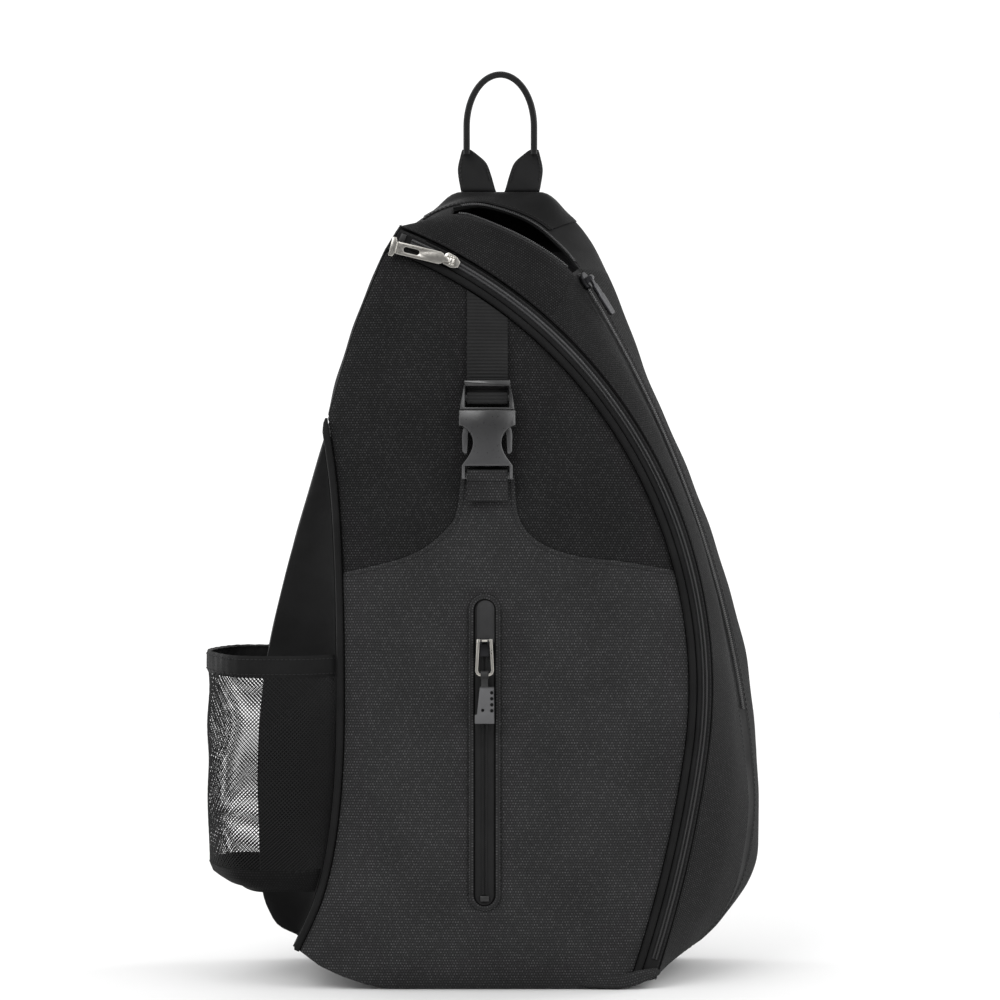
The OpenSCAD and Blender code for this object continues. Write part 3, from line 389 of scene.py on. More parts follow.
def rounded(width, height, steps=5, power=0.5):
    """Section of a flat band with round edges, standing on height 0."""
    a = np.linspace(0, 2 * np.pi, 4 * steps, endpoint=False)
    c, s = np.cos(a), np.sin(a)
    return np.stack([np.sign(c) * abs(c) ** power * width / 2,
                     np.sign(s) * abs(s) ** power * height / 2 + height / 2], -1)


def stitches(name, path, up, pitch=3.3, radius=0.3, body="bag", lift=0.0):
    """A row of sewn thread, one small capsule for each stitch."""
    line = spaced(np.asarray(path, float), pitch)
    up = np.asarray(up, float)
    if up.ndim > 1:
        up = unit(resample(up, len(line) - 1))
    side, high = frames(line, up)
    along = unit(np.gradient(line, axis=0))
    half = pitch * 0.38
    profile = ((-1, 0.35, -0.12), (-0.6, 1, 0.12), (0.6, 1, 0.12), (1, 0.35, -0.12))
    a = np.arange(6) * np.pi / 3
    rings = [line[:, None] + high[:, None] * lift
             + along[:, None] * half * t
             + side[:, None] * (np.cos(a) * radius * r)[None, :, None]
             + high[:, None] * (np.sin(a) * radius * r + h)[None, :, None]
             for t, r, h in profile]
    points = np.stack(rings, 1).reshape(-1, 3)
    one = [list(f) for f in quads(4, 6, wrap=True)] + [[5, 4, 3, 2, 1, 0], list(range(18, 24))]
    faces = [[24 * k + v for v in f] for k in range(len(line)) for f in one]
    return outward(piece(name, points, faces, [THREAD], "trim_fabric", body=body, sharp=80))


# ---- Materials ---------------------------------------------------------------------------

class Shader:
    """A Principled material. Numbers that are the same all over go on its own sockets."""

    def __init__(self, name, colour, roughness, **constants):
        self.material = bpy.data.materials.new(name)
        self.material.use_nodes = True
        self.tree = self.material.node_tree
        self.bsdf = self.tree.nodes["Principled BSDF"]
        self.bsdf.inputs["Base Color"].default_value = (*colour, 1)
        self.bsdf.inputs["Roughness"].default_value = roughness
        for key, value in constants.items():
            self.bsdf.inputs[key.replace("_", " ")].default_value = value

    def add(self, kind, *values, **settings):
        node = self.tree.nodes.new("ShaderNode" + kind)
        for key, value in settings.items():
            setattr(node, key, value)
        for socket, value in zip(node.inputs, values):
            self.put(value, socket)
        return node

    def put(self, value, socket):
        if isinstance(value, bpy.types.NodeSocket):
            self.tree.links.new(value, socket)
        elif value is not None:
            socket.default_value = value

    def calc(self, operation, *values):
        return self.add("Math", *values, operation=operation).outputs[0]

    def step(self, value, low, high, to_low=0.0, to_high=1.0):
        return self.add("MapRange", value, low, high, to_low, to_high,
                        interpolation_type="SMOOTHSTEP").outputs[0]

    def cloth(self):
        """Millimetres along the cloth."""
        where = self.add("Attribute", attribute_name="cloth").outputs["Vector"]
        parts = self.add("SeparateXYZ", where)
        return where, parts.outputs[0], parts.outputs[1]

    def place(self):
        """Millimetres in the object's own frame."""
        where = self.add("TexCoord").outputs["Object"]
        return self.add("VectorMath", where, (1 / MM,) * 3, operation="MULTIPLY").outputs[0]

    def noise(self, where, size, detail=3.0, roughness=0.5):
        node = self.add("TexNoise")
        self.put(where, node.inputs["Vector"])
        self.put(1 / size, node.inputs["Scale"])
        self.put(detail, node.inputs["Detail"])
        self.put(roughness, node.inputs["Roughness"])
        return node.outputs[0]

    def cells(self, x, y, pitch_x, pitch_y, radius, soft=0.35):
        """Staggered round dots, and a number from 0 to 1 for each dot."""
        row = self.calc("DIVIDE", y, pitch_y)
        row_id = self.calc("FLOOR", row)
        shift = self.calc("MULTIPLY", self.calc("PINGPONG", row_id, 1.0), 0.5)
        column = self.calc("ADD", self.calc("DIVIDE", x, pitch_x), shift)
        from_x, from_y = (
            self.calc("MULTIPLY", self.calc("SUBTRACT", self.calc("FRACT", at), 0.5), pitch)
            for at, pitch in ((column, pitch_x), (row, pitch_y)))
        away = self.calc("SQRT", self.calc("ADD", self.calc("POWER", from_x, 2.0),
                                           self.calc("POWER", from_y, 2.0)))
        dots = self.step(away, radius * (1 - soft), radius * (1 + soft), 1.0, 0.0)
        cell = self.add("CombineXYZ", self.calc("FLOOR", column), row_id, 0.0).outputs[0]
        chance = self.add("TexWhiteNoise", cell, noise_dimensions="3D").outputs[0]
        return dots, chance

    def wave(self, value, pitch):
        """From 0 to 1 and back over each pitch."""
        turn = self.calc("SINE", self.calc("MULTIPLY", value, 2 * math.pi / pitch))
        return self.calc("MULTIPLY_ADD", turn, 0.5, 0.5)

    def plain_weave(self, x, y, pitch):
        return self.calc("ABSOLUTE", self.calc("SUBTRACT", self.wave(x, pitch),
                                               self.wave(y, pitch)))

    def shade(self, amount, *colours):
        """Colour from dark to light by amount; it drives the base colour."""
        mix = self.add("Mix", data_type="RGBA")
        self.put(amount, mix.inputs[0])
        for socket, colour in zip((mix.inputs[6], mix.inputs[7]), colours):
            self.put((*colour, 1) if isinstance(colour, tuple) else colour, socket)
        self.put(mix.outputs[2], self.bsdf.inputs["Base Color"])
        return mix.outputs[2]

    def tint(self, colour, value):
        """The colour made lighter and darker by a value about 1."""
        node = self.add("HueSaturation", 0.5, 1.0, value)
        self.put(colour, node.inputs["Color"])
        self.put(node.outputs[0], self.bsdf.inputs["Base Color"])
        return node.outputs[0]

    def rough(self, value):
        self.put(value, self.bsdf.inputs["Roughness"])

    def bump(self, *layers):
        """Layers of (height from 0 to 1, depth in mm), one on the other."""
        normal = None
        for height, depth in layers:
            node = self.add("Bump")
            self.put(height, node.inputs["Height"])
            self.put(depth * MM, node.inputs["Distance"])
            if normal is not None:
                self.put(normal, node.inputs["Normal"])
            normal = node.outputs[0]
        self.put(normal, self.bsdf.inputs["Normal"])


def grey(level):
    return (level, level, level * 1.02)


def dobby(name, ground, light, pitch_x, pitch_y, radius, share, weave=0.55):
    """Woven cloth with a lattice of raised lighter dots; share of them stand out."""
    s = Shader(name, grey(ground), 0.86, Sheen_Weight=0.03, Sheen_Roughness=0.5,
               Specular_IOR_Level=0.08)
    where, x, y = s.cloth()
    dots, chance = s.cells(x, y, pitch_x, pitch_y, radius)
    bright = s.calc("MULTIPLY", dots, s.step(chance, 1 - share, 1.0, 0.35, 1.0))
    threads = s.plain_weave(x, y, weave)
    level = s.calc("ADD", s.calc("MULTIPLY", bright, 0.8), s.calc("MULTIPLY", threads, 0.2))
    colour = s.shade(level, grey(ground), grey(light))
    broad = s.noise(where, 40.0, 4.0)
    fine = s.noise(where, 0.7, 2.0)
    s.tint(colour, s.calc("ADD", s.step(broad, 0.25, 0.75, 0.82, 1.06),
                          s.step(fine, 0.2, 0.8, -0.08, 0.12)))
    s.rough(s.step(dots, 0.0, 1.0, 0.9, 0.74))
    s.bump((dots, 0.16), (threads, 0.07), (fine, 0.05))
    return s.material


def plain(name, ground, light, weave=0.6, sheen=0.02, roughness=0.78, crease=0.12):
    """Fine plain weave with soft creases."""
    s = Shader(name, grey(ground), roughness, Sheen_Weight=sheen, Sheen_Roughness=0.4,
               Specular_IOR_Level=0.1)
    where, x, y = s.cloth()
    threads = s.plain_weave(x, y, weave)
    broad = s.noise(where, 25.0, 4.0)
    colour = s.shade(threads, grey(ground), grey(light))
    s.tint(colour, s.step(broad, 0.25, 0.75, 0.85, 1.12))
    s.rough(s.step(broad, 0.3, 0.7, roughness + 0.08, roughness - 0.05))
    s.bump((threads, 0.05), (s.noise(where, 9.0, 4.0), crease))
    return s.material


def ribbed(name, ground, light, rib=2.2):
    """Webbing: ribs across it, each of two rows of slanting threads."""
    s = Shader(name, grey(ground), 0.62, Sheen_Weight=0.03, Sheen_Roughness=0.35,
               Specular_IOR_Level=0.12)
    where, x, y = s.cloth()
    ribs = s.wave(x, rib)
    slant = s.calc("ADD", y, s.calc("MULTIPLY", s.calc("PINGPONG", x, rib / 2), 1.2))
    threads = s.wave(slant, 0.9)
    level = s.calc("MULTIPLY", ribs, s.calc("MULTIPLY_ADD", threads, 0.5, 0.5))
    colour = s.shade(level, grey(ground), grey(light))
    s.tint(colour, s.step(s.noise(where, 18.0, 4.0), 0.25, 0.75, 0.85, 1.12))
    s.bump((ribs, 0.1), (threads, 0.1), (s.noise(where, 0.5, 2.0), 0.04))
    return s.material


def spacer_mesh(name, ground, light):
    """Air mesh: staggered open cells between raised yarn."""
    s = Shader(name, grey(ground), 0.85, Sheen_Weight=0.15, Sheen_Roughness=0.5,
               Specular_IOR_Level=0.25)
    where = s.place()
    parts = s.add("SeparateXYZ", where)
    cells, _ = s.cells(parts.outputs[0], parts.outputs[2], 3.2, 2.8, 0.95, 0.25)
    yarn = s.noise(where, 0.6, 2.0)
    colour = s.shade(s.calc("SUBTRACT", 1.0, cells), grey(ground * 0.25), grey(light))
    s.tint(colour, s.step(yarn, 0.2, 0.8, 0.8, 1.15))
    s.bump((s.calc("SUBTRACT", 1.0, cells), 0.7), (yarn, 0.08))
    return s.material


def moulded(name, colour, roughness, grain=0.02, edge_wear_and_highlight=0.3, crown=None, by_height=None, **constants):
    """Moulded plastic, rubber or cast metal, with edges lighter: partly real wear, partly a
    painted highlight, strongest on the buckle. Crown is the middle [x, z] and half sizes of a
    domed face; by_height is two heights and the tone at each, which on the buckle and the zip
    coils is painted shading and on the rubber pull darkens the neck."""
    s = Shader(name, colour, roughness, **constants)
    where = s.place()
    parts = s.add("SeparateXYZ", where)
    edge = s.step(s.add("NewGeometry").outputs["Pointiness"], 0.52, 0.6)
    scuffs = s.step(s.noise(where, 3.0, 6.0, 0.7), 0.52, 0.7)
    lighter = tuple(c + (1 - c) * 0.06 for c in colour)
    # Edges painted lighter where scuffed: real wear, and on the buckle a painted highlight.
    worn_and_lit_edges = s.calc("MULTIPLY", s.calc("MULTIPLY", edge, s.step(scuffs, 0.0, 1.0, 0.4, 1.0)), edge_wear_and_highlight)
    tone = s.shade(worn_and_lit_edges, colour, lighter)
    value = s.step(s.noise(where, 14.0, 3.0), 0.25, 0.75, 0.96, 1.03)
    # Tone set by height: painted shading on the buckle and the zip coils.
    if by_height is not None:
        value = s.calc("MULTIPLY", value, s.step(parts.outputs[2], *by_height))
    s.tint(tone, value)
    s.rough(s.step(s.noise(where, 2.0, 5.0, 0.65), 0.3, 0.75, roughness - 0.03, roughness + 0.06))
    layers = [(s.noise(where, 0.35, 3.0), grain), (s.noise(where, 6.0, 2.0), grain * 2)]
    if crown is not None:
        x, z, half_x, half_z = crown
        from_x = s.calc("DIVIDE", s.calc("SUBTRACT", parts.outputs[0], x), half_x)
        from_z = s.calc("DIVIDE", s.calc("SUBTRACT", parts.outputs[2], z), half_z)
        dome = s.calc("ADD", s.calc("MULTIPLY", from_x, from_x), s.calc("MULTIPLY", from_z, from_z))
        layers.insert(0, (s.calc("SUBTRACT", 2.0, dome), 2.4))
    s.bump(*layers)
    return s.material


UPPER = dobby("upper dobby cloth", 0.0062, 0.040, 1.75, 1.6, 0.5, 0.75)
LOWER = dobby("lower dobby cloth", 0.0155, 0.074, 1.7, 1.75, 0.48, 0.7)
GUSSET = dobby("gusset dobby cloth", 0.0055, 0.034, 1.5, 1.4, 0.42, 0.5)
TAB_CLOTH = plain("carry tab cloth", 0.012, 0.022, weave=0.9)
LOOP_WEAVE = plain("carry loop webbing", 0.008, 0.018, weave=1.1, roughness=0.65)
TRIM = plain("smooth trim cloth", 0.0055, 0.010, roughness=0.6, sheen=0.03)
SIDE = plain("side gusset cloth", 0.008, 0.014, roughness=0.72)
LINING = plain("lining", 0.02, 0.032, weave=0.8, crease=0.3)
ZIP_TAPE = plain("zip tape", 0.008, 0.018, weave=0.9, roughness=0.7)
FILM = plain("zip film", 0.010, 0.016, weave=0.9, roughness=0.6, crease=0.05)
THREAD = plain("sewing thread", 0.022, 0.036, weave=0.35, roughness=0.6, crease=0.0)
NET = plain("net yarn", 0.014, 0.024, weave=0.4, roughness=0.65, crease=0.0)
WEBBING = ribbed("ribbed webbing", 0.009, 0.0185)
AIR_MESH = spacer_mesh("air mesh", 0.012, 0.03)
BOARD = moulded("foam board", (0.05, 0.05, 0.052), 0.9, grain=0.15, edge_wear_and_highlight=0.1)
PLASTIC = moulded("black acetal", (0.012, 0.012, 0.0125), 0.24, edge_wear_and_highlight=0.4, Specular_IOR_Level=0.6)
SILVER = moulded("polished nickel", (0.58, 0.56, 0.52), 0.3, grain=0.003, edge_wear_and_highlight=0.2, Metallic=1.0)
GUNMETAL = moulded("gunmetal", (0.026, 0.026, 0.028), 0.34, grain=0.006, edge_wear_and_highlight=0.5, Metallic=1.0)
# The coils' tone is painted lighter towards the top of each zip, where it turns up to the light:
# painted shading.
FRONT_COIL = moulded("front zip coil nylon", (0.022, 0.022, 0.023), 0.4, edge_wear_and_highlight=0.0,
                     by_height=(330, 430, 0.4, 1.5))
MAIN_COIL = moulded("main zip coil nylon", (0.022, 0.022, 0.023), 0.5, edge_wear_and_highlight=0.0,
                    by_height=(405, 440, 0.3, 1.2))
# Near-black cloth for the strips laid in seam grooves: painted shade.
SEAM_SHADOW = plain("painted seam shadow", 0.0008, 0.0012, roughness=0.95, sheen=0.0)
# The buckle's colour is painted up to 3.4 times lighter towards the bottom, and lighter at its
# edges at full strength: painted shading and painted edge highlights.
BUCKLE = moulded("buckle acetal", (0.013, 0.013, 0.0135), 0.3, edge_wear_and_highlight=1.0, crown=(-11.3, 366, 18, 30),
                 by_height=(333, 376, 3.4, 1.0), Specular_IOR_Level=0.7)
STOP = moulded("zip stop", (0.008, 0.008, 0.0082), 0.45, edge_wear_and_highlight=0.1)
NET_FOOT = dobby("net over cloth", 0.004, 0.014, 1.75, 1.75, 0.5, 1.0)
GARAGE = plain("zip garage cloth", 0.024, 0.042, weave=0.9)
RUBBER = moulded("grey rubber", (0.075, 0.075, 0.078), 0.6, grain=0.06, edge_wear_and_highlight=0.3,
                 by_height=(192.6, 194, 1.0, 0.06))


# ---- Copies of rigid frame pieces, with rounded edges ------------------------------------

def from_frame(name, node):
    return linked(name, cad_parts[node].data.copy())


def softened(node, material, body="bag", width=0.3, steps=2, angle=28, weave=None):
    """The frame's own piece with its edges rounded; weave gives the cloth's two directions."""
    obj = from_frame(node + "_finished", node)
    bm = bmesh.new()
    bm.from_mesh(obj.data)
    bmesh.ops.remove_doubles(bm, verts=bm.verts, dist=2e-6)
    bmesh.ops.dissolve_limit(bm, angle_limit=math.radians(0.8), verts=bm.verts, edges=bm.edges)
    bmesh.ops.triangulate(bm, faces=bm.faces)
    sharp = [e for e in bm.edges if e.is_manifold and e.calc_face_angle(0) > math.radians(angle)]
    bmesh.ops.bevel(bm, geom=sharp, offset=width * MM, offset_type="OFFSET", segments=steps,
                    profile=0.5, affect="EDGES", clamp_overlap=False)
    bmesh.ops.recalc_face_normals(bm, faces=bm.faces)
    bm.to_mesh(obj.data)
    bm.free()
    only_material(obj, material)
    if weave is not None:
        paint_cloth(obj, *weave)
    smooth_faces(obj.data)
    obj.data.set_sharp_from_angle(angle=math.radians(42))
    return settle(obj, body, [node])


def points_of(mesh):
    co = np.zeros(len(mesh.vertices) * 3, np.float32)
    mesh.vertices.foreach_get("co", co)
    return co.reshape(-1, 3).astype(float)


def paint_cloth(obj, along, across):
    co = points_of(obj.data) / MM
    along, across = np.array(along, float), np.array(across, float)
    write_cloth(obj.data, np.stack([co @ along, co @ across, np.zeros(len(co))], -1))


def applied(obj):
    """The object's mesh with its modifiers applied and removed."""
    graph = bpy.context.evaluated_depsgraph_get()
    mesh = bpy.data.meshes.new_from_object(obj.evaluated_get(graph), depsgraph=graph)
    obj.modifiers.clear()
    obj.data = mesh
    return obj


PAD_SHRINK, PAD_ROOM = 0.8, 4  # drawn in before it swells; how far it may pass its solid
CLOTH_FRAMES = 16


def puffed(node, material, cap, rest_y=None, voxel=4.5):
    """A padded piece: the frame's solid, drawn in a little and blown up as cloth."""
    obj = from_frame(node + "_padded", node)
    remesh = obj.modifiers.new("remesh", "REMESH")
    remesh.mode = "VOXEL"
    remesh.voxel_size = voxel * MM
    applied(obj)
    co = points_of(obj.data)
    bm = bmesh.new()
    bm.from_mesh(obj.data)
    bmesh.ops.smooth_vert(bm, verts=bm.verts, factor=0.5, use_axis_x=True, use_axis_y=True,
                          use_axis_z=True)
    for v in bm.verts:
        v.co -= v.normal * PAD_SHRINK * MM
    bm.to_mesh(obj.data)
    bm.free()
    start = points_of(obj.data)
    swell(obj)
    moved = points_of(obj.data) - start
    far = np.linalg.norm(moved, axis=1, keepdims=True)
    start = start + moved * np.minimum(1, cap * MM / np.maximum(far, 1e-9))
    if rest_y is not None:
        start[:, 1] = np.maximum(start[:, 1], rest_y * MM)
    lowest, highest = co.min(0) - PAD_ROOM * MM, co.max(0) + PAD_ROOM * MM
    start = np.clip(start, lowest, highest)
    obj.data.vertices.foreach_set("co", start.astype(np.float32).ravel())
    smooth = obj.modifiers.new("subdivision", "SUBSURF")
    smooth.levels = smooth.render_levels = 1
    applied(obj)
    only_material(obj, material)
    smooth_faces(obj.data)
    obj.data.polygons.foreach_set("material_index", np.zeros(len(obj.data.polygons), np.int32))
    settle(obj, "bag", [node])


def swell(obj):
    cloth = obj.modifiers.new("cloth", "CLOTH")
    cloth.settings.quality = 4
    cloth.settings.use_pressure = True
    cloth.settings.uniform_pressure_force = 4
    cloth.settings.effector_weights.gravity = 0
    cloth.settings.tension_stiffness = 25
    cloth.settings.compression_stiffness = 25
    cloth.settings.bending_stiffness = 2
    for f in range(1, CLOTH_FRAMES + 1):
        bpy.context.scene.frame_set(f)
    applied(obj)
    bpy.context.scene.frame_set(1)


# ---- Front panel -------------------------------------------------------------------------

LOW_ROWS = 18
YOKE_LEFT = spline([[-28, 327], [-31, 303], [-38, 292], [-51, 281], [-66, 274], [-85, 269],
                    LEFT_EDGE[YOKE_INDEX]])
YOKE_RIGHT = spline([[6, 327], [8, 303], [15, 290], [28, 281], [48, 275], [75, 272],
                     front_edge(0)[LOW_ROWS * FINE]])
YOKE = np.concatenate([YOKE_LEFT[::-1], YOKE_RIGHT])


def panel_height(p):
    edge = np.minimum(right_gap(p), left_gap(p))
    soft = rise(edge, 12) * rise(p[..., 1], 12)
    groove = np.exp(-np.maximum(edge, 0) / 1.3)
    return crown_at(p) + soft * (0.5 * wobble(p, 90, 3) + 0.12 * wobble(p, 22, 4)) - 1.1 * groove


def inside(points, outline):
    """Which points lie within a closed outline."""
    x, y = points[:, :1], points[:, 1:]
    a, b = outline, np.roll(outline, -1, 0)
    spans = (a[None, :, 1] > y) != (b[None, :, 1] > y)
    step = np.where(b[:, 1] == a[:, 1], 1, b[:, 1] - a[:, 1])
    cross = a[None, :, 0] + (y - a[None, :, 1]) * ((b[:, 0] - a[:, 0]) / step)[None]
    return (spans & (x < cross)).sum(1) % 2 == 1


def front_panel(name, node, outline, height, material, slot, pitch=2.6):
    """A closed sheet that fills an outline on the front with even triangles."""
    outline = spaced(np.concatenate([outline, outline[:1]]), 1.9)[:-1]
    low, high = outline.min(0), outline.max(0)
    rows = np.arange(low[1], high[1], pitch * 0.866)
    lattice = np.array([(x + pitch / 2 * (k % 2), y) for k, y in enumerate(rows)
                        for x in np.arange(low[0], high[0], pitch)])
    lattice = lattice[inside(lattice, outline)]
    lattice = lattice[gap_to(lattice, outline) > 0.8 * pitch]
    flat = np.concatenate([outline, lattice])
    rim = [(k, (k + 1) % len(outline)) for k in range(len(outline))]
    made = delaunay_2d_cdt([Vector(p) for p in flat], rim, [], 1, 1e-4)
    flat = np.array([tuple(p) for p in made[0]])
    triangles = np.array(made[2])
    edges = np.concatenate([triangles[:, [0, 1]], triangles[:, [1, 2]], triangles[:, [2, 0]]])
    both = {tuple(e) for e in edges.tolist()}
    open_edges = np.array([e for e in edges.tolist() if (e[1], e[0]) not in both])
    size = len(flat)
    sides = np.stack([open_edges[:, 1], open_edges[:, 0], open_edges[:, 0] + size,
                      open_edges[:, 1] + size], -1)
    faces = triangles.tolist() + (triangles[:, ::-1] + size).tolist() + sides.tolist()
    h = height(flat)
    points = np.concatenate([on_front(flat, h), on_front(flat, h - WALL)])
    cloth = np.concatenate([np.column_stack([flat, 0 * h])] * 2)
    lining = np.r_[np.zeros(len(triangles)), np.ones(len(triangles)), np.zeros(len(sides))]
    obj = piece(name, points, faces, [material, LINING], slot, cloth=cloth, indices=lining,
                stands_for=[node])
    return outward(obj)


POCKET = np.array([-13, 52])
POCKET_H, WELT_LENGTH, WELT_WIDTH = 15, 197, 16


def from_pocket(p):
    """How far a point is outside the front pocket's welt."""
    x = abs(p[..., 0] - POCKET[0]) - WELT_WIDTH / 2 - 2
    y = abs(p[..., 1] - POCKET[1] - WELT_LENGTH / 2) - WELT_LENGTH / 2 - 1
    return np.hypot(np.maximum(x, 0), np.maximum(y, 0))


def lower_height(p):
    free = panel_height(p) + 1.3 * rise(gap_to(p, YOKE_FINE), 1.1) - 0.3
    return np.minimum(free, POCKET_H - 0.8 + 0.25 * from_pocket(p))


def upper_height(p):
    return panel_height(p) - 1.0 * np.exp(-gap_to(p, YOKE_FINE) / 9)


YOKE_FINE = spaced(YOKE, 1.0)
BASE_FRONT = np.concatenate([BASE_PROFILE[BASE_PROFILE[:, 0] < 75], front_edge(0)[:1]])
EDGE = front_edge(0)
front_panel("front_panel_lower_cloth", "front_panel_lower",
            np.concatenate([BASE_FRONT[:-1], EDGE[:LOW_ROWS * FINE], YOKE[::-1][:-1],
                            LEFT_EDGE[:YOKE_INDEX + 1][::-1][:-1]]),
            lower_height, LOWER, "lower_fabric")
front_panel("front_panel_upper_cloth", "front_panel_upper",
            np.concatenate([YOKE[:-1], EDGE[LOW_ROWS * FINE:], LEFT_EDGE[YOKE_INDEX + 1:][::-1]]),
            upper_height, UPPER, "upper_fabric")


def on_panel(p, above, height=panel_height):
    return on_front(p, height(p) + above)


def beside(path, d):
    """A flat path moved to its left by d."""
    along = unit(np.gradient(path, axis=0))
    return path + np.stack([-along[:, 1], along[:, 0]], -1) * d


for side, half in (("left", YOKE_LEFT[::-1]), ("right", YOKE_RIGHT)):
    seam = beside(spaced(half, 2.0), -2.6)[1:-1]
    stitches("yoke_stitch_" + side, on_panel(seam, 0.05, lower_height), OUT)


# ---- Seams and zip of the front ----------------------------------------------------------

def edge_line(d):
    """The panel's right edge moved out by d, led to the tape's tip."""
    tip = np.array(LEFT_TOP) + (SEAM_TOP - np.array(LEFT_TOP)) * d / TAPE_WIDTH
    return np.concatenate([front_edge(d), [tip]])


def band(name, profile, thickness, material, slot, **more):
    """A strip beside the edge, from a profile of [offset, height]."""
    rows = [on_front(edge_line(d), np.full(len(edge_line(d)), h)) for d, h in profile]
    return shell(name, np.array(rows), thickness, [material], slot, **more)


def piping(name, path, width, height, node, sink=1.2, hug=0):
    """A round cord of cloth, drawn in under the seam at its top and rounded at its foot; where
    it narrows it keeps to the side that hug points to."""
    line = on_front(path, np.full(len(path), -sink))
    s = lengths(path)
    fade = np.clip(np.minimum(s / 1.5 + 0.3, (s[-1] - s) / 9), 0, 1)[:, None] ** 0.6
    side, up = frames(line, OUT)
    share = 0.35 + 0.65 * fade
    line[:, :1] += hug * (1 - share) * width / 2
    return sweep(name, line, side * share, up * (0.2 + 0.8 * fade),
                 rounded(width, height + sink, 4, 0.75), [TRIM], "trim_fabric", stands_for=[node])


def seam_shadow_strip(name, path, height):
    """A near-black strip laid in the groove where a piping meets the cloth: painted shade, standing
    for the shadow in that groove.
    """
    line = on_front(path, np.full(len(path), height - 1.0))
    side, up = frames(line, OUT)
    return sweep(name, line, side, up, rounded(1.1, 1.0, 3, 0.8), [SEAM_SHADOW], "trim_fabric")


piping("front_piping_cord", resample(edge_line(PIPING / 2), 260), PIPING - 0.5, 2.5, "front_piping")
piping("left_piping_cord", spaced(LEFT_LOW - [0.3 + PIPING / 2, 0], 3.0), PIPING - 0.4, 2.5,
       "left_piping", sink=2.4, hug=1)
# Near-black strips along both sides of each piping: painted shade in the seam grooves.
SEAM_SHADOW_LINE = spaced(LEFT_LOW, 3.0)
seam_shadow_strip("left_seam_shadow", SEAM_SHADOW_LINE[:-4] - [0.1, 0], 0.4)
seam_shadow_strip("left_gusset_shadow", SEAM_SHADOW_LINE[1:-6] - [PIPING + 0.1, 0], -0.2)
for shadow_name, offset, height in (("front_seam_shadow", 0.1, 0.5), ("front_tape_shadow", PIPING - 0.1, 0.4),
                             ("front_gusset_shadow", TAPE_WIDTH - 0.2, 0.2)):
    seam_shadow_strip(shadow_name, spaced(edge_line(offset), 3.0)[1:-6], height)
TAPE_PROFILE = [(5, -0.4), (5.8, 0.05), (7, 0.2), (8.4, 0.1), (9.3, 0.02), (11.1, 0.02), (12, 0.1),
                (13.2, 0.3), (14.2, 0.2), (15, -0.3)]
band("front_zip_tape_cloth", TAPE_PROFILE, WALL - 0.5, ZIP_TAPE, "trim_fabric",
     stands_for=["front_zip_tape"])


def coil_lips(name, line, node, material, width=4.0, height=1.45, pitch=1.5):
    """A closed zip seen from its cloth side: two lips with slanting ribs."""
    line = spaced(line, pitch / 4)
    side, high = frames(line, OUT)
    across = np.array([-1, -0.86, -0.6, -0.3, -0.08, 0.08, 0.3, 0.6, 0.86, 1]) * width / 2
    rise_at = np.array([0, 0.62, 0.95, 0.9, 0.25, 0.25, 0.9, 0.95, 0.62, 0]) * height
    s = lengths(line)[:, None]
    ribs = np.sin((s + abs(across)) * 2 * np.pi / pitch + np.where(across > 0, np.pi, 0))
    ribs = ribs * 0.2 * (rise_at / height)
    grid = (line[:, None] + side[:, None] * across[None, :, None]
            + high[:, None] * (rise_at + ribs)[..., None])
    shell(name, grid, 0.25, [material], "zip_coil", stands_for=[node],
          centre=grid.reshape(-1, 3).mean(0) - OUT * 300)


def along_edge(d, k0, k1, height):
    path = front_edge(d)[round(k0 * FINE):round(k1 * FINE) + 1]
    return on_front(path, np.full(len(path), height))


coil_lips("front_zip_closed", along_edge(ZIP_LINE, 1, 41, 0.05), "front_zip_coil", FRONT_COIL)
stitches("front_zip_stitch", along_edge(13.6, 0.2, 41.8, 0.35), OUT, pitch=2.8, radius=0.24)


# ---- Gussets, base and back --------------------------------------------------------------

FRONT_RINGS, REAR_RINGS = (0, 1, 2), (3, 4, 5)


def gusset(name, rings, i0, i1, material, slot, nodes, puff=1.0, crease=0.5, seed=1):
    grid = wall(rings, i0, i1)
    v = np.linspace(0, 1, grid.shape[0])[:, None]
    belly = np.sin(np.pi * v)
    lift = puff * belly ** 0.6 + crease * belly * wobble(grid, 55, seed)
    grid = grid + normals(grid) * lift[..., None]
    shell(name, grid, WALL - 0.4, [material, LINING], slot, stands_for=nodes)


gusset("front_gusset_right_cloth", FRONT_RINGS, RIGHT, TOP, GUSSET, "upper_fabric",
       ["front_gusset_right"], seed=11)
gusset("front_gusset_top_cloth", FRONT_RINGS, TOP, LEFT, GUSSET, "upper_fabric",
       ["front_gusset_top"], seed=12)
gusset("left_gusset_cloth", FRONT_RINGS, LEFT, END, SIDE, "trim_fabric", ["left_gusset"],
       puff=1.6, crease=1.2, seed=13)
gusset("rear_gusset_right_cloth", REAR_RINGS, RIGHT, TOP, GUSSET, "upper_fabric",
       ["rear_gusset_right"], puff=0.6, seed=14)
gusset("rear_gusset_left_cloth", (2, 3, 4, 5), LEFT, END, SIDE, "trim_fabric",
       ["rear_gusset_left"], puff=0.6, seed=15)
gusset("rear_gusset_top_cloth", REAR_RINGS, TOP, LEFT, SIDE, "upper_fabric",
       ["rear_gusset_top"], puff=0.4, crease=0.3, seed=16)
gusset("rear_gusset_corner_cloth", (2, 3), MOUTH_END, LEFT, SIDE, "upper_fabric", [], puff=0.2,
       crease=0.1, seed=17)
gusset("main_zip_tape_cloth", (2, 3), RIGHT, TOP, ZIP_TAPE, "trim_fabric", ["main_zip_tape"],
       puff=-0.5, crease=0.0)


def seam_stitches(name, rings, i0, i1, v):
    grid = wall(rings, i0, i1)
    row = round(v * (grid.shape[0] - 1))
    stitches(name, grid[row], normals(grid)[row], lift=0.25)


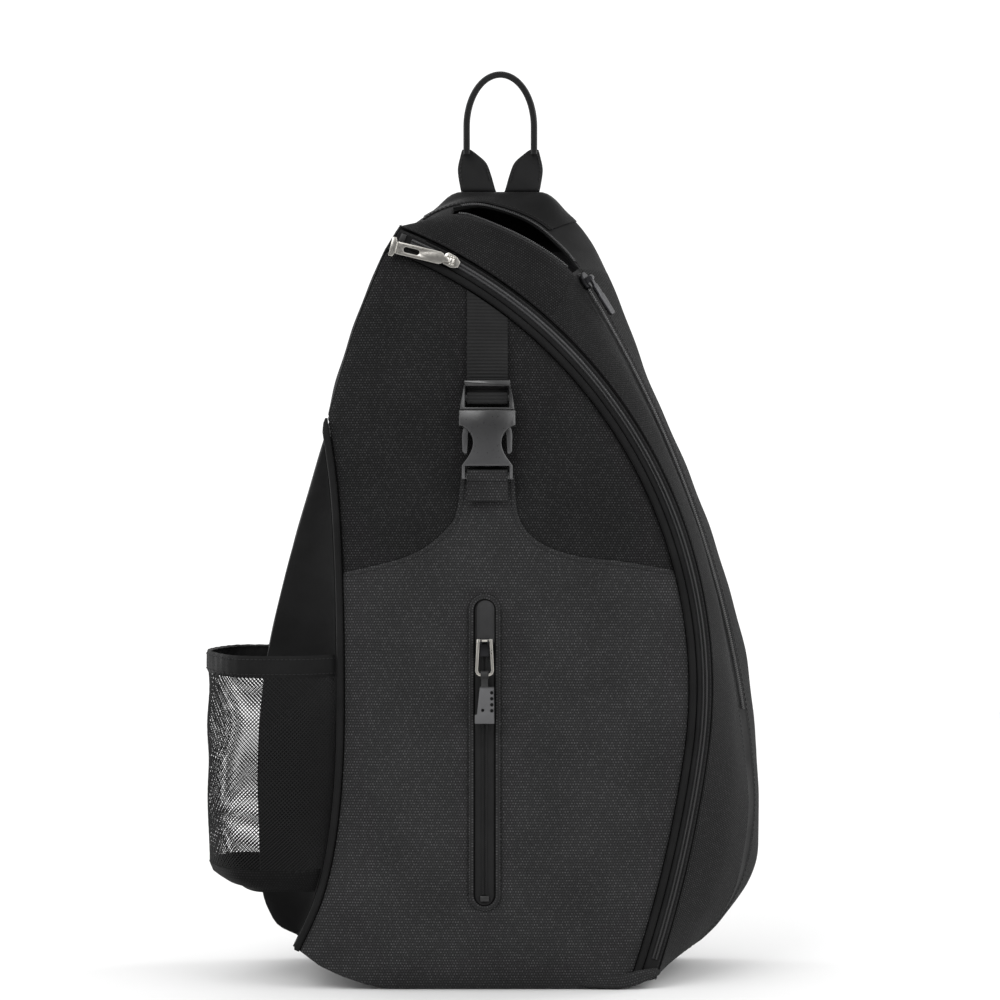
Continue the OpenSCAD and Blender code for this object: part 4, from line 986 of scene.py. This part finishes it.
for name, rings, i0, i1, v in (("front", FRONT_RINGS, RIGHT, LEFT, 0.05),
                               ("main", FRONT_RINGS, RIGHT, LEFT, 0.95),
                               ("left", FRONT_RINGS, LEFT, END, 0.05),
                               ("rear", REAR_RINGS, RIGHT, LEFT, 0.05),
                               ("back", REAR_RINGS, RIGHT, LEFT, 0.9)):
    seam_stitches("gusset_stitch_" + name, rings, i0, i1, v)

MAIN_LINE_RADIUS, MAIN_DEPTH, MAIN_TILT = MAIN_RADIUS + 2.5, 5, math.atan(0.5)


def main_zip_line(start, end, steps):
    """Path and outward direction of the main zip, which faces out and forward."""
    a = np.radians(np.linspace(start, end, steps + 1))
    radial = np.stack([np.cos(a), 0 * a, np.sin(a)], -1)
    line = np.array([MAIN_CENTRE[0], MAIN_DEPTH, MAIN_CENTRE[1]]) + radial * MAIN_LINE_RADIUS
    face = radial * math.cos(MAIN_TILT) - np.array([0, 1, 0]) * math.sin(MAIN_TILT)
    return line, face


def coil(name, line, up, width, height, pitch, stands_for=(), yarn=0.34, lift=0.4):
    """A nylon coil: a flattened helix of thick yarn along the line."""
    turns = lengths(line)[-1] / pitch
    steps = int(turns * 12)
    fine, up = resample(line, steps), unit(resample(np.broadcast_to(up, line.shape), steps))
    side, high = frames(fine, up)
    a = np.linspace(0, turns * 2 * np.pi, steps + 1)[:, None]
    path = fine + side * np.cos(a) * width / 2 + high * (np.sin(a) * height / 2 + lift + height / 2)
    out = unit(side * np.cos(a) * 0.6 + high * np.sin(a))
    ring_side, ring_up = frames(path, out)
    section = [(yarn * math.cos(t), yarn * math.sin(t)) for t in np.arange(5) * 2 * np.pi / 5]
    return sweep(name, path, ring_side, ring_up, section, [MAIN_COIL], "zip_coil",
                 stands_for=stands_for)


MAIN_LINE, MAIN_FACE = main_zip_line(8.8, 32.7, 160)
coil("main_zip_teeth", MAIN_LINE, MAIN_FACE, 3.0, 0.8, 1.35, stands_for=["main_zip_coil"], lift=0.3)


def mouth_lip(name, ring, way, node):
    edge = ends(RINGS[ring], TOP, MOUTH_END)
    k = np.linspace(0, 1, len(edge))
    share = np.minimum(1, 3 * np.sin(np.pi * k))[:, None]
    reach = np.array(way) * 4 * share
    grid = np.array([edge + reach * t for t in (0, 0.35, 0.7, 1)])
    grid[1:3] += np.array([0, 0, 0.5]) * share
    shell(name, grid, 1.4, [ZIP_TAPE], "trim_fabric", stands_for=[node])
    teeth = grid[-1][2:-2] + np.array([0, 0, 0.2])
    coil(name + "_teeth", teeth, np.array([0.4, -0.3, 1]), 2.0, 0.7, 1.35, lift=0.0)
    stitches(name + "_stitch", grid[1][2:-2], np.array([0.3, -0.3, 1]), pitch=2.8, radius=0.22,
             lift=0.2)


mouth_lip("mouth_lip_front_cloth", 2, (0, 1, 0.3), "mouth_lip_front")
mouth_lip("mouth_lip_rear_cloth", 3, (0, -1, 0), "mouth_lip_rear")

base_z = BASE[:, 1]
BASE_GRID = np.array([
    np.stack([BASE[:, 0], plane_y(base_z, -WALL) * (1 - t) + BACK * t, base_z], -1)
    for t in np.linspace(0, 1, 50)])
shell("base_cloth", BASE_GRID, WALL, [LOWER, LINING], "lower_fabric", stands_for=["base_panel"])


def base_corner():
    """Fold of the lower cloth that closes the foot of the front zip."""
    low = np.array([[48, 0], [62, 0], [72, 0], [78.6, 1], [84.5, 2.9], BASE_RIGHT,
                    BASE_RIGHT + [2, 1.2]])
    flat = spaced(spline(low + [0, 4.2]), 1.5)
    path = on_front(flat, np.maximum(panel_height(flat), 0.6) + 0.2)
    side, up = frames(path, OUT)
    s = lengths(flat)
    fade = np.clip(np.minimum(s / 24, (s[-1] - s) / 14), 0, 1)[:, None] ** 0.6
    sweep("base_corner_cloth", path, side * (0.4 + 0.6 * fade), up * (0.1 + 0.9 * fade),
          rounded(8.6, 3.0, 5, 0.7), [LOWER], "lower_fabric")


base_corner()


def outline_grid(outline, rows, cols, y, trim=0.4):
    """Rows across a closed outline of [x, z], from its foot to its top."""
    top, foot = outline[:, 1].argmax(), len(BASE) // 2
    right = outline[foot:top + 1]
    left = np.concatenate([outline[top:], outline[:foot + 1]])[::-1]
    z = np.linspace(outline[:, 1].min() + trim / 4, outline[:, 1].max() - trim, rows)
    right_x = np.interp(z, right[:, 1], right[:, 0])
    left_x = np.interp(z, left[:, 1], left[:, 0])
    u = np.linspace(0, 1, cols)[None, :]
    x = left_x[:, None] * (1 - u) + right_x[:, None] * u
    return np.stack([x, np.full_like(x, y), np.repeat(z[:, None], cols, 1)], -1)


back_grid = outline_grid(RING_BACK, 150, 70, BACK_FACE)
shell("back_panel_cloth", back_grid, 3.8, [SIDE, LINING], "upper_fabric", stands_for=["back_panel"],
      cloth=back_grid[..., [0, 2, 1]])
for node in ("back_pad_upper", "back_pad_left", "back_pad_right"):
    puffed(node, AIR_MESH, 3.0, rest_y=BACK_FACE + 0.1)
back_seam = np.concatenate([space(RING_BACK, BACK + 1.8), space(RING_BACK, BACK + 1.8)[:1]])
back_seam = back_seam[round(RIGHT * FINE):]
seam_out = space(-inward(RING_BACK), 0)
seam_out = np.concatenate([seam_out, seam_out[:1]])[round(RIGHT * FINE):]
seam_side, seam_up = frames(back_seam, unit(seam_out))
cord_section = [(1.5 * math.cos(t), 1.5 * math.sin(t)) for t in np.arange(8) * np.pi / 4]
sweep("back_seam_piping", back_seam, seam_side, seam_up, cord_section, [TRIM], "trim_fabric")


# ---- Inside of the bag -------------------------------------------------------------------

FLAT_WEAVE = ((1, 0, 0), (0, 0.3, 1))
for node in ("divider", "pocket_pouch"):
    softened(node, LINING, width=0.5, weave=FLAT_WEAVE)
for node in ("back_board", "base_board"):
    softened(node, BOARD, width=0.4)


# ---- Front pocket ------------------------------------------------------------------------

def on_pocket(p, h):
    p = np.asarray(p, float)
    return on_front(p + POCKET, np.broadcast_to(np.asarray(h, float) + POCKET_H, p.shape[:-1]))


def stadium(width, length):
    """Closed line with round ends, from the pocket's origin up."""
    r = width / 2
    return np.concatenate([arc((0, r), r, 180, 360, 20), arc((0, length - r), r, 0, 180, 20)])


def closed_sweep(name, path, up, section, materials, slot, **more):
    """A section carried round a closed path."""
    loop = np.concatenate([path[-2:], path, path[:2]])
    side, high = frames(loop, up)
    grid = (loop[:, None] + side[:, None] * section[None, :, :1]
            + high[:, None] * section[None, :, 1:])[2:-2]
    rows, cols = grid.shape[:2]
    cloth = np.stack(np.broadcast_arrays(lengths(path)[:, None], np.arange(cols)[None] * 0.5, 0.0),
                     -1).reshape(-1, 3)
    faces = quads(rows + 1, cols, wrap=True) % (rows * cols)
    return outward(piece(name, grid.reshape(-1, 3), faces, materials, slot, cloth=cloth, **more))


welt_rim = WELT_WIDTH + 1.0
welt_line = (stadium(welt_rim, WELT_LENGTH - (WELT_WIDTH - welt_rim))
             + [0, (WELT_WIDTH - welt_rim) / 2])
welt_line = spaced(np.concatenate([welt_line, welt_line[:1]]), 1.5)[:-1]
closed_sweep("pocket_welt_cloth", on_pocket(welt_line, -1.0), OUT, rounded(3.2, 2.0, 4, 0.8),
             [LOWER], "lower_fabric", stands_for=["pocket_welt"])


def stadium_grid(width, low, high, round_low, rows, cols, rim_height, height):
    """A crowned tab on the pocket between two heights; its top end is round."""
    y = low + (high - low) * np.sin(np.linspace(0, np.pi / 2, rows))
    r = width / 2
    half = np.where(y > high - r, np.sqrt(np.maximum(r**2 - (y - high + r) ** 2, 0.01)), r)
    if round_low:
        half = np.where(y < low + r, np.sqrt(np.maximum(r**2 - (y - low - r) ** 2, 0.01)), half)
    u = np.linspace(-1, 1, cols)
    x = half[:, None] * u[None]
    ends_in = np.minimum(1, (high - y) / 2.5)[:, None]
    h = rim_height + (height - rim_height) * (1 - u[None] ** 4) * ends_in
    return x, np.repeat(y[:, None], cols, 1), h


def pocket_tab(name, x, y, h, thickness, material, slot, **more):
    flat = np.stack([x, y], -1)
    return shell(name, on_pocket(flat, h), thickness, [material], slot,
                 cloth=np.stack([x, y, 0 * x], -1), **more)


slot_line = stadium(WELT_WIDTH - 2.2, WELT_LENGTH - 2.2) + [0, 1.1]
slot_line = spaced(np.concatenate([slot_line, slot_line[:1]]), 1.5)[:-1]
# A near-black strip round the inside of the welt: painted shade in the pocket's recess.
closed_sweep("pocket_slot_shadow", on_pocket(slot_line, -0.6), OUT, rounded(1.3, 1.1, 3, 0.8), [SEAM_SHADOW],
             "trim_fabric")
tape_x, tape_y, tape_h = stadium_grid(WELT_WIDTH - 1.4, 0.7, WELT_LENGTH - 0.7, True, 160, 25,
                                      0.3, 0.3)
tape_h -= 0.7 * np.clip((abs(np.linspace(-1, 1, 25)) - 0.7) / 0.15, 0, 1)[None]
pocket_tab("pocket_zip_film", tape_x, tape_y, tape_h, 0.3, FILM, "trim_fabric",
           stands_for=["pocket_zip_tape"])
coil_lips("pocket_zip_closed", on_pocket(np.array([[0, 8], [0, WELT_LENGTH - 12]]), 0.32),
          "pocket_zip_coil", FILM, height=1.0, pitch=1.3)
garage_x, garage_y, garage_h = stadium_grid(11.2, WELT_LENGTH - 28.5, WELT_LENGTH - 1.8, False, 40,
                                            21, 0.4, 3.4)
pocket_tab("pocket_garage_cloth", garage_x + 0.7, garage_y, garage_h, 0.7, GARAGE, "lower_fabric",
           stands_for=["pocket_garage"])
for side, x, start, stop in (("left", -11, 9, WELT_LENGTH - 9), ("right", 11, WELT_LENGTH - 9, 9)):
    stitches("welt_stitch_" + side, on_pocket(np.array([[x, start], [x, stop]]), -0.35), OUT,
             pitch=2.8)


# ---- Zip hardware and buckle -------------------------------------------------------------

for node in ("front_slider", "front_puller", "pocket_bail"):
    softened(node, SILVER, node, width=0.22)
softened("pocket_slider", GUNMETAL, "pocket_slider", width=0.22)
for node in ("main_slider", "main_puller"):
    softened(node, GUNMETAL, node, width=0.22)
softened("pocket_pull", RUBBER, "pocket_pull", width=0.35)
softened("zip_stops", STOP, width=0.3)
softened("buckle_socket", BUCKLE, width=0.55, steps=3)
softened("buckle_plug", BUCKLE, "plug", width=0.5, steps=3)
for node in ("prong_left", "prong_right"):
    softened(node, BUCKLE, node, width=0.45, steps=3)
softened("socket_webbing", LOWER, width=0.3, weave=((1, 0, 0), UP))
softened("plug_webbing", WEBBING, "plug", width=0.3, weave=(UP, (1, 0, 0)))

BUCKLE_X, WEB_WIDTH, WEB_THICKNESS, PLUG_TOP, PLUG_TRAVEL = -11.3, 26, 1.5, 58.6, 30
WEB_LEFT = BUCKLE_X - WEB_WIDTH / 2
WEB_START = 328 + PLUG_TOP + 1.2
PLUG_WEB_H = 16 + 1.25 - math.sin(math.radians(4)) * (PLUG_TOP + 0.9)


def web_end(x):
    return EDGE_CENTRE[1] + np.sqrt(EDGE_RADIUS**2 - (x - EDGE_CENTRE[0]) ** 2) - 1


def web_height(p, v):
    """Height of the webbing, which runs down from the plug to lie on the cloth."""
    at_left = np.stack([np.full_like(p[..., 0], WEB_LEFT), p[..., 1]], -1)
    on_cloth = np.maximum(crown_at(p), crown_at(at_left) * (1 - v)) + 0.35
    return np.maximum(on_cloth, PLUG_WEB_H * (1 - v**1.5))


def buckle_webbing():
    """Ribbed webbing from the plug up to the front seam."""
    u, v = np.meshgrid(np.linspace(0, 1, 21), np.linspace(0, 1, 190))
    x = WEB_LEFT + WEB_WIDTH * u
    w = WEB_START + (web_end(x) - WEB_START) * v
    p = np.stack([x, w], -1)
    ribs = 0.14 * np.sin(w * 2 * np.pi / 2.2) * (1 - (2 * u - 1) ** 8)
    edge = 0.35 * (2 * u - 1) ** 10
    h = web_height(p, v) + WEB_THICKNESS - 0.15 + ribs - edge
    obj = shell("buckle_webbing_strap", on_front(p, h), 1.1, [WEBBING], "webbing",
                cloth=np.stack([w, x, 0 * x], -1), stands_for=["buckle_webbing"])
    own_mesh(obj)


buckle_webbing()


# ---- Carry loop --------------------------------------------------------------------------

HANDLE_X, HANDLE_Y, PIVOT, LOOP_CENTRE, LOOP_HALF, LOOP_RISE = -3, 44, 508.4, 548, 22, 34
LEG_LOW = 533.4


def carry_loop():
    a = np.radians(np.linspace(0, 180, 60))
    inset = 2.25
    bow = np.stack([HANDLE_X + (LOOP_HALF - inset) * np.cos(a), 0 * a + HANDLE_Y,
                    LOOP_CENTRE + (LOOP_RISE - inset) * np.sin(a)], -1)
    legs = [[HANDLE_X + s * (LOOP_HALF - inset), HANDLE_Y, LEG_LOW - 3] for s in (1, -1)]
    path = spaced(np.concatenate([legs[:1], bow, legs[1:]]), 1.1)
    along = unit(np.gradient(path, axis=0))
    side = np.broadcast_to([0.0, 1.0, 0.0], path.shape)
    up = unit(np.cross(side, along))
    up = up * np.sign(((path - [HANDLE_X, HANDLE_Y, LOOP_CENTRE - 20]) * up).sum(1).mean())
    section = rounded(22, 4.3, 6, 0.5)
    section[:, 0] *= 1 - 0.04 * (section[:, 1:].ravel() > 2)
    sweep("carry_loop_webbing", path, side, up, section, [LOOP_WEAVE], "webbing", body="handle",
          stands_for=["handle_loop"])


def carry_tab(side, name):
    """Padded leaf at a foot of the loop."""
    inner = spline([[504.4, 2], [508, 3.4], [517, 6], [524.8, 9.2], [530.6, 15.6], [533.2, 19.2]])
    outer = spline([[504.4, 25], [509, 26.2], [520, 27.7], [529, 26], [533.2, 24.8]])
    z = 505.45 + (533.2 - 505.45) * np.sin(np.linspace(0, np.pi / 2, 34)) ** 1.2
    x_in, x_out = np.interp(z, inner[:, 0], inner[:, 1]), np.interp(z, outer[:, 0], outer[:, 1])
    foot = np.sqrt(np.maximum(9 - np.maximum(PIVOT - z, 0) ** 2, 0.02))
    half_y = np.minimum(np.minimum(foot, 3 + np.maximum(z - PIVOT, 0) * 3.5 / 8), 6.5)
    half_y = half_y * (1 - 0.5 * np.clip((z - 526) / 7.2, 0, 1) ** 2)
    a = np.linspace(0, 2 * np.pi, 40, endpoint=False)
    c, s = np.cos(a), np.sin(a)
    round_x, round_y = np.sign(c) * abs(c) ** 0.7, np.sign(s) * abs(s) ** 0.8
    middle, half = (x_in + x_out) / 2, (x_out - x_in) / 2
    grid = np.stack([HANDLE_X + side * (middle[:, None] + half[:, None] * round_x),
                     HANDLE_Y + half_y[:, None] * round_y,
                     np.repeat(z[:, None], len(a), 1)], -1)
    rows, cols = grid.shape[:2]
    faces = [list(f) for f in quads(rows, cols, wrap=True)]
    faces += [list(range(cols)), [(rows - 1) * cols + k for k in range(cols)]]
    cloth = grid[..., [0, 2, 1]].reshape(-1, 3)
    obj = outward(piece(name + "_padded", grid.reshape(-1, 3), faces, [TAB_CLOTH], "upper_fabric",
                        body="handle", stands_for=[name], cloth=cloth))
    row = np.arange(8, 30, 2)
    for x, label in ((x_in + 1.8, "inner"), (x_out - 1.8, "outer")):
        line = np.stack([HANDLE_X + side * x, HANDLE_Y - half_y * 0.8, z], -1)[row]
        stitches(f"{name}_stitch_{label}", line, np.array([0, -1, 0]), pitch=2.6, radius=0.24,
                 body="handle", lift=0.12)


carry_loop()
carry_tab(-1, "handle_tab_left")
carry_tab(1, "handle_tab_right")
patch = wall(REAR_RINGS, TOP + 3, LEFT - 1, 12)[2:]
patch = patch + normals(patch) * 1.2
past_feet = np.clip(np.stack([(abs(patch[..., 0] - HANDLE_X) - 25) / 20,
                              (abs(patch[..., 1] - HANDLE_Y) - 4) / 8]), 0, 1)
near_feet = np.prod(1 - past_feet**2 * (3 - 2 * past_feet), 0)
patch[..., 2] += np.clip(PIVOT - 2.6 - patch[..., 2], 0, 12) * near_feet
shell("handle_patch_webbing", patch, 1.2, [TRIM], "webbing", stands_for=["handle_patch"])
for row, name in ((1, "front"), (-2, "rear")):
    stitches("handle_patch_stitch_" + name, patch[row], normals(patch)[row], pitch=2.8, lift=0.1)


# ---- Mesh bottle pocket ------------------------------------------------------------------

MESH_TOP, MESH_HEM, MESH_LOW, MESH_SIDE, NET_PITCH = 212, 14, 76, -190, 1.75
REAR_UP = REAR_LEFT[::-1]


def pocket_section(z, reach, out, cols=72):
    """The pocket's line round the bottle at one height, from the front seam to the rear one."""
    ax = -1.6 - PIPING + np.interp(z, LEFT_EDGE[:, 1], LEFT_EDGE[:, 0])
    bx = np.interp(z, REAR_UP[:, 1], REAR_UP[:, 0]) - 0.8
    ay, by = plane_y(z, 0) + 3, 24
    side = bx + (MESH_SIDE - bx) * reach
    line = resample(spline([[ax, ay], [ax + (side - ax) * 0.3, ay - 10 * reach],
                            [ax + (side - ax) * 0.75, ay - 7 * reach],
                            [side + 3 * reach, ay + (by - ay) * 0.28],
                            [side, ay + (by - ay) * 0.6], [bx + (side - bx) * 0.6, by - 2],
                            [bx, by]]), cols)
    along = np.gradient(line, axis=0)
    line = line + unit(np.stack([-along[:, 1], along[:, 0]], -1)) * out
    return np.concatenate([line, np.full((len(line), 1), z)], 1)


def reach_at(z):
    return np.interp(z, [61.4, 63, 65, 70, MESH_LOW, 100], [0.3, 0.32, 0.62, 0.9, 0.98, 1])


POCKET_MIDDLE = np.array([-140, 0, 130])
NET_LEVELS = np.arange(MESH_LOW - 2, MESH_TOP - MESH_HEM + 2.1, 2.0)
NET_GRID = np.array([pocket_section(z, reach_at(z), 0.5) for z in NET_LEVELS])
NET_BULGE = wobble(NET_GRID, 48, 21) * np.sin(np.linspace(0, np.pi, NET_GRID.shape[1]))
NET_GRID += normals(NET_GRID, POCKET_MIDDLE) * NET_BULGE[..., None]


def on_net(u, v, out):
    """Point of the net at a share u of the way round and v of the way up, moved out."""
    rows, cols = NET_GRID.shape[:2]
    r, c = np.clip(v, 0, 1) * (rows - 1), np.clip(u, 0, 1) * (cols - 1)
    r0, c0 = np.minimum(r.astype(int), rows - 2), np.minimum(c.astype(int), cols - 2)
    fr, fc = (r - r0)[:, None], (c - c0)[:, None]
    p = (NET_GRID[r0, c0] * (1 - fr) * (1 - fc) + NET_GRID[r0, c0 + 1] * (1 - fr) * fc
         + NET_GRID[r0 + 1, c0] * fr * (1 - fc) + NET_GRID[r0 + 1, c0 + 1] * fr * fc)
    return p + NET_NORMALS[r0, c0] * out[:, None]


NET_NORMALS = normals(NET_GRID, POCKET_MIDDLE)


def net():
    """Diagonal yarns over and under each other, each a thin three-sided tube."""
    width = lengths(NET_GRID[len(NET_GRID) // 2])[-1]
    height = NET_LEVELS[-1] - NET_LEVELS[0]
    a = NET_PITCH / math.sqrt(2)
    across, up = int(width / a), int(height / a)
    points, faces, radius = [], [], 0.32
    for way in (1, -1):
        for start in range(-up, across + up + 1, 2):
            k = np.arange(up + 1)
            m = start + way * k
            keep = (m >= 0) & (m <= across)
            k, m = k[keep], m[keep]
            if len(k) < 2:
                continue
            over = np.where(((m + k * way) // 2 + k) % 2 == 0, 1, -1) * way * 0.12
            line = on_net(m / across, k / up, over.astype(float))
            column = int(m.mean() / across * (NET_GRID.shape[1] - 1))
            side, high = frames(line, NET_NORMALS[len(NET_LEVELS) // 2, column])
            ring = np.stack([line + side * radius, line + high * radius, line - side * radius], 1)
            base = sum(len(p) for p in points)
            points.append(ring.reshape(-1, 3))
            faces += [list(f) for f in quads(len(k), 3, base, wrap=True)]
            last = base + (len(k) - 1) * 3
            faces += [[base + 2, base + 1, base], [last, last + 1, last + 2]]
    points = np.concatenate(points)
    obj = outward(piece("mesh_pocket_net", points, faces, [NET], "mesh",
                        stands_for=["mesh_pocket"], sharp=80))


def pocket_hem():
    levels = np.linspace(MESH_TOP - MESH_HEM, MESH_TOP, 13)
    puff = 1.0 - 0.9 * np.abs(np.linspace(-1, 1, len(levels))) ** 5
    grid = np.array([pocket_section(z, 1, 0.6 + p) for z, p in zip(levels, puff)])
    ripples = 0.25 * np.sin(lengths(grid[0])[None] * 2 * np.pi / 7 + wobble(grid, 30, 5))
    grid += normals(grid, POCKET_MIDDLE) * ripples[..., None]
    shell("mesh_pocket_hem_cloth", grid, 2.2, [TRIM], "trim_fabric", centre=POCKET_MIDDLE,
          stands_for=["mesh_pocket_hem"])
    for row in (2, 10):
        stitches(f"hem_stitch_{row}", grid[row], normals(grid, POCKET_MIDDLE)[row], pitch=2.8,
                 radius=0.24, lift=0.08)


def pocket_foot():
    levels = np.array([61.5, 62.2, 63.5, 65.5, 68, 70.5, 73, 76])
    grid = np.array([pocket_section(z, reach_at(z), 0.9) for z in levels])
    shell("mesh_pocket_foot_cloth", grid, 1.1, [NET_FOOT], "trim_fabric", centre=POCKET_MIDDLE,
          stands_for=["mesh_pocket_base"])
    rim = grid[0]
    middle = np.array([np.linspace(rim[0], rim[-1], len(rim))])
    t = np.linspace(0, 1, 8)[:, None, None]
    floor = rim[None] * (1 - t) + middle * t
    shell("mesh_pocket_floor_cloth", floor, 1.0, [SIDE], "trim_fabric",
          centre=np.array([-140, 0, 90]))


pocket_hem()
pocket_foot()
net()


# ---- Sling strap on the back -------------------------------------------------------------

RING = np.array([113, 66])
STRAP_TOP = np.array([-6, 474])
STRAP_TURN = math.atan2(RING[0] - STRAP_TOP[0], STRAP_TOP[1] - RING[1])
DOWN_STRAP = (math.sin(STRAP_TURN), 0, -math.cos(STRAP_TURN))
ACROSS_STRAP = (math.cos(STRAP_TURN), 0, math.sin(STRAP_TURN))
puffed("sling_strap_pad", AIR_MESH, 2.0, voxel=4.0)


def strap_tab(name, profile, width, thickness):
    """Webbing sewn into an end of the strap's pad; its profile is [y, distance down the strap]."""
    y, s = spaced(spline(profile), 2.0).T
    path = np.stack([STRAP_TOP[0] + s * DOWN_STRAP[0], y, STRAP_TOP[1] + s * DOWN_STRAP[2]], -1)
    side = np.broadcast_to(ACROSS_STRAP, path.shape)
    up = unit(np.cross(side, np.gradient(path, axis=0)))
    sweep(name, path, side, up, rounded(width, thickness, 4, 0.5), [WEBBING], "webbing")


strap_tab("strap_pad_head", [[72.8, -7], [74.2, -1], [77, 4.5], [86, 13], [93, 24]], 40, 2.6)
strap_tab("strap_pad_tail", [[107, 265], [104.1, 284], [101.4, 295]], 26, 3.2)
softened("sling_webbing", WEBBING, width=0.25, weave=(DOWN_STRAP, ACROSS_STRAP))
softened("strap_anchor_patch", TRIM, width=0.5, weave=(ACROSS_STRAP, DOWN_STRAP))
for node in ("anchor_wing_right", "anchor_wing_left"):
    softened(node, TRIM, width=0.5, weave=((1, 0, 0), (0, 0.5, 1)))
softened("square_ring_right", PLASTIC, width=0.7, steps=3)
softened("d_ring_left", PLASTIC, "spare_ring", width=0.7, steps=3)
softened("strap_adjuster", PLASTIC, "adjuster", width=0.6, steps=3)


# ---- Floor, light and camera -------------------------------------------------------------

def add_light(name, place, target, size, power):
    light = bpy.data.lights.new(name, "AREA")
    light.shape = "RECTANGLE"
    light.size, light.size_y = size
    light.energy = power
    obj = linked(name, light)
    obj.location = place
    obj.rotation_euler = (Vector(target) - Vector(place)).to_track_quat("-Z", "Y").to_euler()


def add_floor():
    mesh = bpy.data.meshes.new("floor")
    half = 1.6
    mesh.from_pydata([(-half, -half, 0), (half, -half, 0), (half, half, 0), (-half, half, 0)], [],
                     [(0, 1, 2, 3)])
    pale = Shader("pale floor", (0.7, 0.7, 0.7), 0.85, Specular_IOR_Level=0.1)
    mesh.materials.append(pale.material)
    linked("floor", mesh)


add_floor()


def add_world():
    """White studio, darker on the side of the viewer; the backdrop itself is plain white."""
    world = bpy.data.worlds.new("studio")
    world.use_nodes = True
    tree = world.node_tree
    background = tree.nodes["Background"]
    background.inputs["Color"].default_value = (1, 1, 1, 1)
    way = tree.nodes.new("ShaderNodeTexCoord").outputs["Generated"]
    towards = tree.nodes.new("ShaderNodeVectorMath")
    towards.operation = "DOT_PRODUCT"
    towards.inputs[1].default_value = (0, -1, -0.25)
    tree.links.new(way, towards.inputs[0])
    fade = tree.nodes.new("ShaderNodeMapRange")
    fade.interpolation_type = "SMOOTHSTEP"
    for k, value in enumerate((0.3, 0.95, 1.3, 0.12), 1):
        fade.inputs[k].default_value = value
    tree.links.new(towards.outputs["Value"], fade.inputs[0])
    seen = tree.nodes.new("ShaderNodeMix")
    tree.links.new(tree.nodes.new("ShaderNodeLightPath").outputs["Is Camera Ray"], seen.inputs[0])
    tree.links.new(fade.outputs[0], seen.inputs[2])
    seen.inputs[3].default_value = 1.15
    tree.links.new(seen.outputs[0], background.inputs["Strength"])
    bpy.context.scene.world = world


add_world()
bpy.context.scene.view_settings.view_transform = "Standard"
AIM = Vector((-0.0032, -0.03, 0.31))
for name, place, size, power in (("key", (-1.3, -2.2, 2.4), (1.8, 1.8), 45),
                                 ("fill", (2.2, -1.8, 1.0), (1.2, 1.8), 18),
                                 ("edge left", (-1.6, 0.7, 0.9), (0.5, 1.8), 7),
                                 ("edge right", (1.6, 0.7, 0.9), (0.5, 1.8), 14)):
    add_light(name, place, AIM, size, power)

camera_data = bpy.data.cameras.new("camera")
camera = linked("camera", camera_data)
VIEW_WIDTH, DISTANCE, ELEVATION, SENSOR = 0.64, 3.6, math.radians(4), 36
camera_data.sensor_width = SENSOR
camera_data.lens = SENSOR * DISTANCE / VIEW_WIDTH
camera.location = AIM + DISTANCE * Vector((0, -math.cos(ELEVATION), math.sin(ELEVATION)))
camera.rotation_euler = (AIM - camera.location).to_track_quat("-Z", "Y").to_euler()
bpy.context.scene.camera = camera
